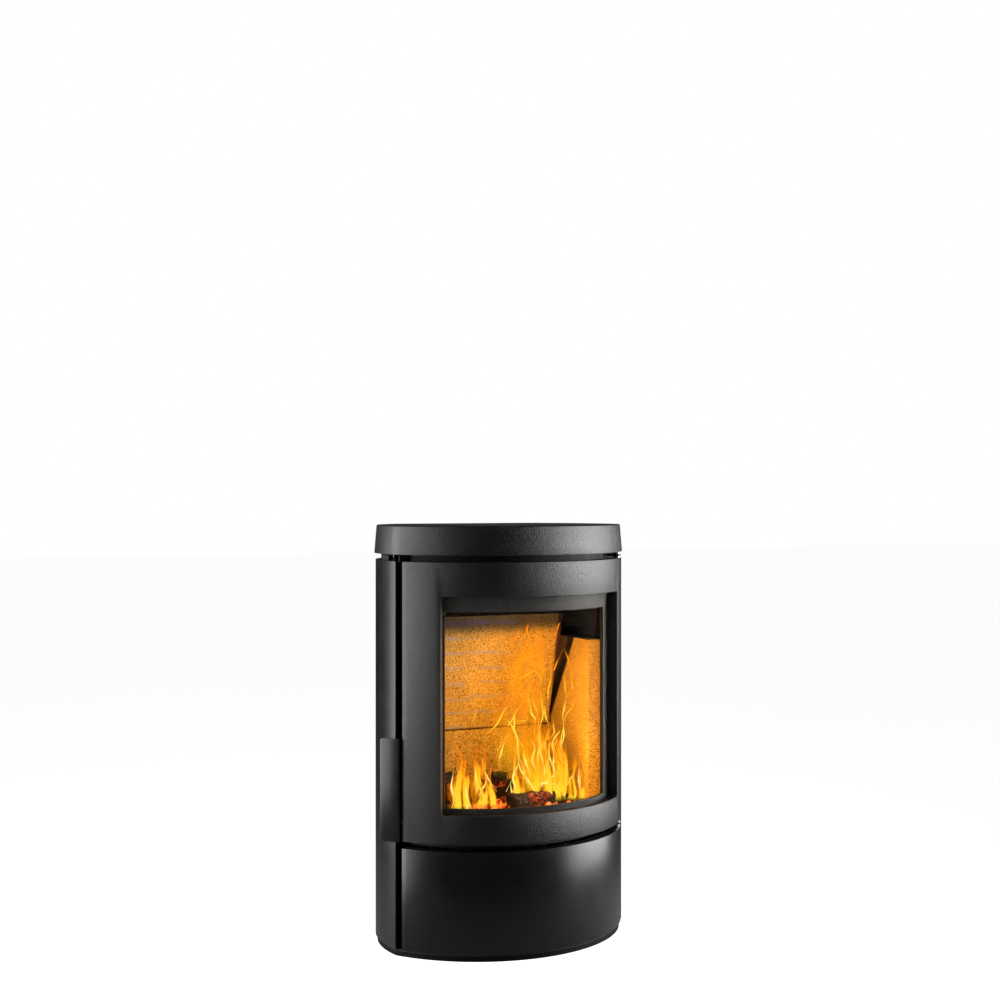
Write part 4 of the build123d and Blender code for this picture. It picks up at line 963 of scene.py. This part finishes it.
def strand(name, root, length, lean, swing, width, seed):
    """A narrow curling ribbon whose heading, in degrees from upright, swings as it rises."""
    luck = random.Random(seed)
    bpy.ops.object.select_all(action="DESELECT")
    bpy.ops.mesh.primitive_grid_add(x_subdivisions=4, y_subdivisions=48, size=1.0)
    ribbon = bpy.context.object
    ribbon.name = name
    phase = luck.uniform(0.0, full_turn)
    turns = length / luck.uniform(0.06, 0.15)
    steps = 200
    x, z = 0.0, 0.0
    route = []
    for step in range(steps + 1):
        up = step / steps
        wave = math.sin(phase + full_turn * turns * up)
        wave += 0.7 * math.sin(2.6 * phase + 16.0 * turns * up)
        heading = math.radians(lean + swing * wave * (0.5 + up))
        route.append((x, z, heading))
        x += length / steps * math.sin(heading)
        z += length / steps * math.cos(heading)
    drift = luck.uniform(-0.006, 0.006)
    for vertex in ribbon.data.vertices:
        across, up = vertex.co.x, vertex.co.y + 0.5
        x, z, heading = route[min(steps, max(0, round(up * steps)))]
        spread = width * (0.2 + math.sin(math.pi * min(1.0, up + 0.12)) ** 0.8)
        spread *= 0.75 + 0.6 * math.sin(2.0 * phase + 9.0 * turns * up)
        vertex.co = (
            root[0] + x + spread * across * math.cos(heading),
            root[1] + drift * up + 0.4 * spread * across * math.cos(heading),
            root[2] + z - spread * across * math.sin(heading),
        )
    bpy.ops.object.shade_smooth()
    ribbon.data.materials.append(strand_glow)
    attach(ribbon, "stove")
    return ribbon


# Each row: place along the hearth, height above it, length, lean, swing and width.
strand_rows = (
    (-0.130, 0.004, 0.115, 10, 34, 0.0042), (-0.095, 0.004, 0.105, -8, 40, 0.0044),
    (-0.126, 0.004, 0.080, 15, 20, 0.0036), (-0.082, 0.008, 0.060, -25, 15, 0.0034),
    (-0.112, 0.010, 0.085, 2, 24, 0.0060), (-0.060, 0.003, 0.120, -8, 25, 0.0036),
    (-0.068, 0.010, 0.110, 4, 40, 0.0034), (-0.033, 0.040, 0.075, -35, 10, 0.0030),
    (-0.008, 0.004, 0.115, 10, 30, 0.0040), (-0.014, 0.038, 0.065, 30, 10, 0.0036),
    (0.002, 0.015, 0.050, -5, 10, 0.0030), (0.010, 0.019, 0.045, 4, 8, 0.0044),
    (0.050, 0.023, 0.190, -22, 20, 0.0040), (0.058, 0.038, 0.200, -4, 18, 0.0046),
    (0.062, 0.041, 0.200, -2, 22, 0.0044), (0.066, 0.045, 0.100, 5, 15, 0.0050),
    (0.075, 0.050, 0.140, 5, 35, 0.0044), (0.087, 0.050, 0.100, 4, 20, 0.0040),
    (0.112, 0.015, 0.075, -20, 20, 0.0044), (0.101, 0.050, 0.270, 4, 22, 0.0036),
    (0.116, 0.041, 0.040, 30, 20, 0.0034), (0.037, 0.056, 0.070, -12, 12, 0.0040),
    (0.042, 0.041, 0.060, 75, 25, 0.0036), (0.070, 0.046, 0.060, 60, 30, 0.0034),
    (-0.033, 0.115, 0.042, 45, 10, 0.0030), (-0.058, 0.145, 0.080, 48, 20, 0.0030),
    (-0.082, 0.174, 0.042, 15, 35, 0.0026), (0.000, 0.167, 0.035, 70, 50, 0.0028),
    (0.008, 0.248, 0.050, 80, 25, 0.0028), (0.062, 0.241, 0.045, -35, 8, 0.0028),
    (0.087, 0.258, 0.050, 35, 15, 0.0034), (0.128, 0.220, 0.090, -12, 12, 0.0034),
    (0.075, 0.205, 0.090, 3, 18, 0.0036), (0.148, 0.020, 0.060, -12, 15, 0.0040),
    (0.143, 0.020, 0.050, 4, 12, 0.0044), (0.079, 0.012, 0.045, 3, 10, 0.0034),
    (0.021, 0.119, 0.070, -28, 12, 0.0030), (0.025, 0.300, 0.050, 10, 50, 0.0046),
    (-0.004, 0.310, 0.036, 25, 40, 0.0042), (0.042, 0.315, 0.040, -30, 40, 0.0044),
    (0.091, 0.318, 0.036, 20, 20, 0.0044), (0.100, 0.090, 0.130, 14, 26, 0.0036),
    (0.004, 0.145, 0.045, -15, 30, 0.0034), (0.046, 0.145, 0.080, -3, 45, 0.0034),
    (0.077, 0.156, 0.050, -25, 20, 0.0032), (0.056, 0.056, 0.100, -20, 40, 0.0044),
    (0.057, 0.091, 0.075, 2, 40, 0.0056), (0.090, 0.084, 0.050, -8, 30, 0.0036),
    (0.081, 0.115, 0.045, 28, 20, 0.0034), (-0.029, 0.100, 0.060, 35, 25, 0.0032),
    (-0.010, 0.160, 0.085, 20, 45, 0.0030), (0.030, 0.050, 0.085, -14, 30, 0.0040),
)
strand_depth = -0.236
swing_scale = 0.62
width_scale = 1.25
for index, (x, lift, length, lean, swing, width) in enumerate(strand_rows):
    strand(
        f"flame_strand_{index + 1:02d}", (x, strand_depth, hearth + lift),
        length, lean, swing_scale * swing, width_scale * width, index + 71,
    )
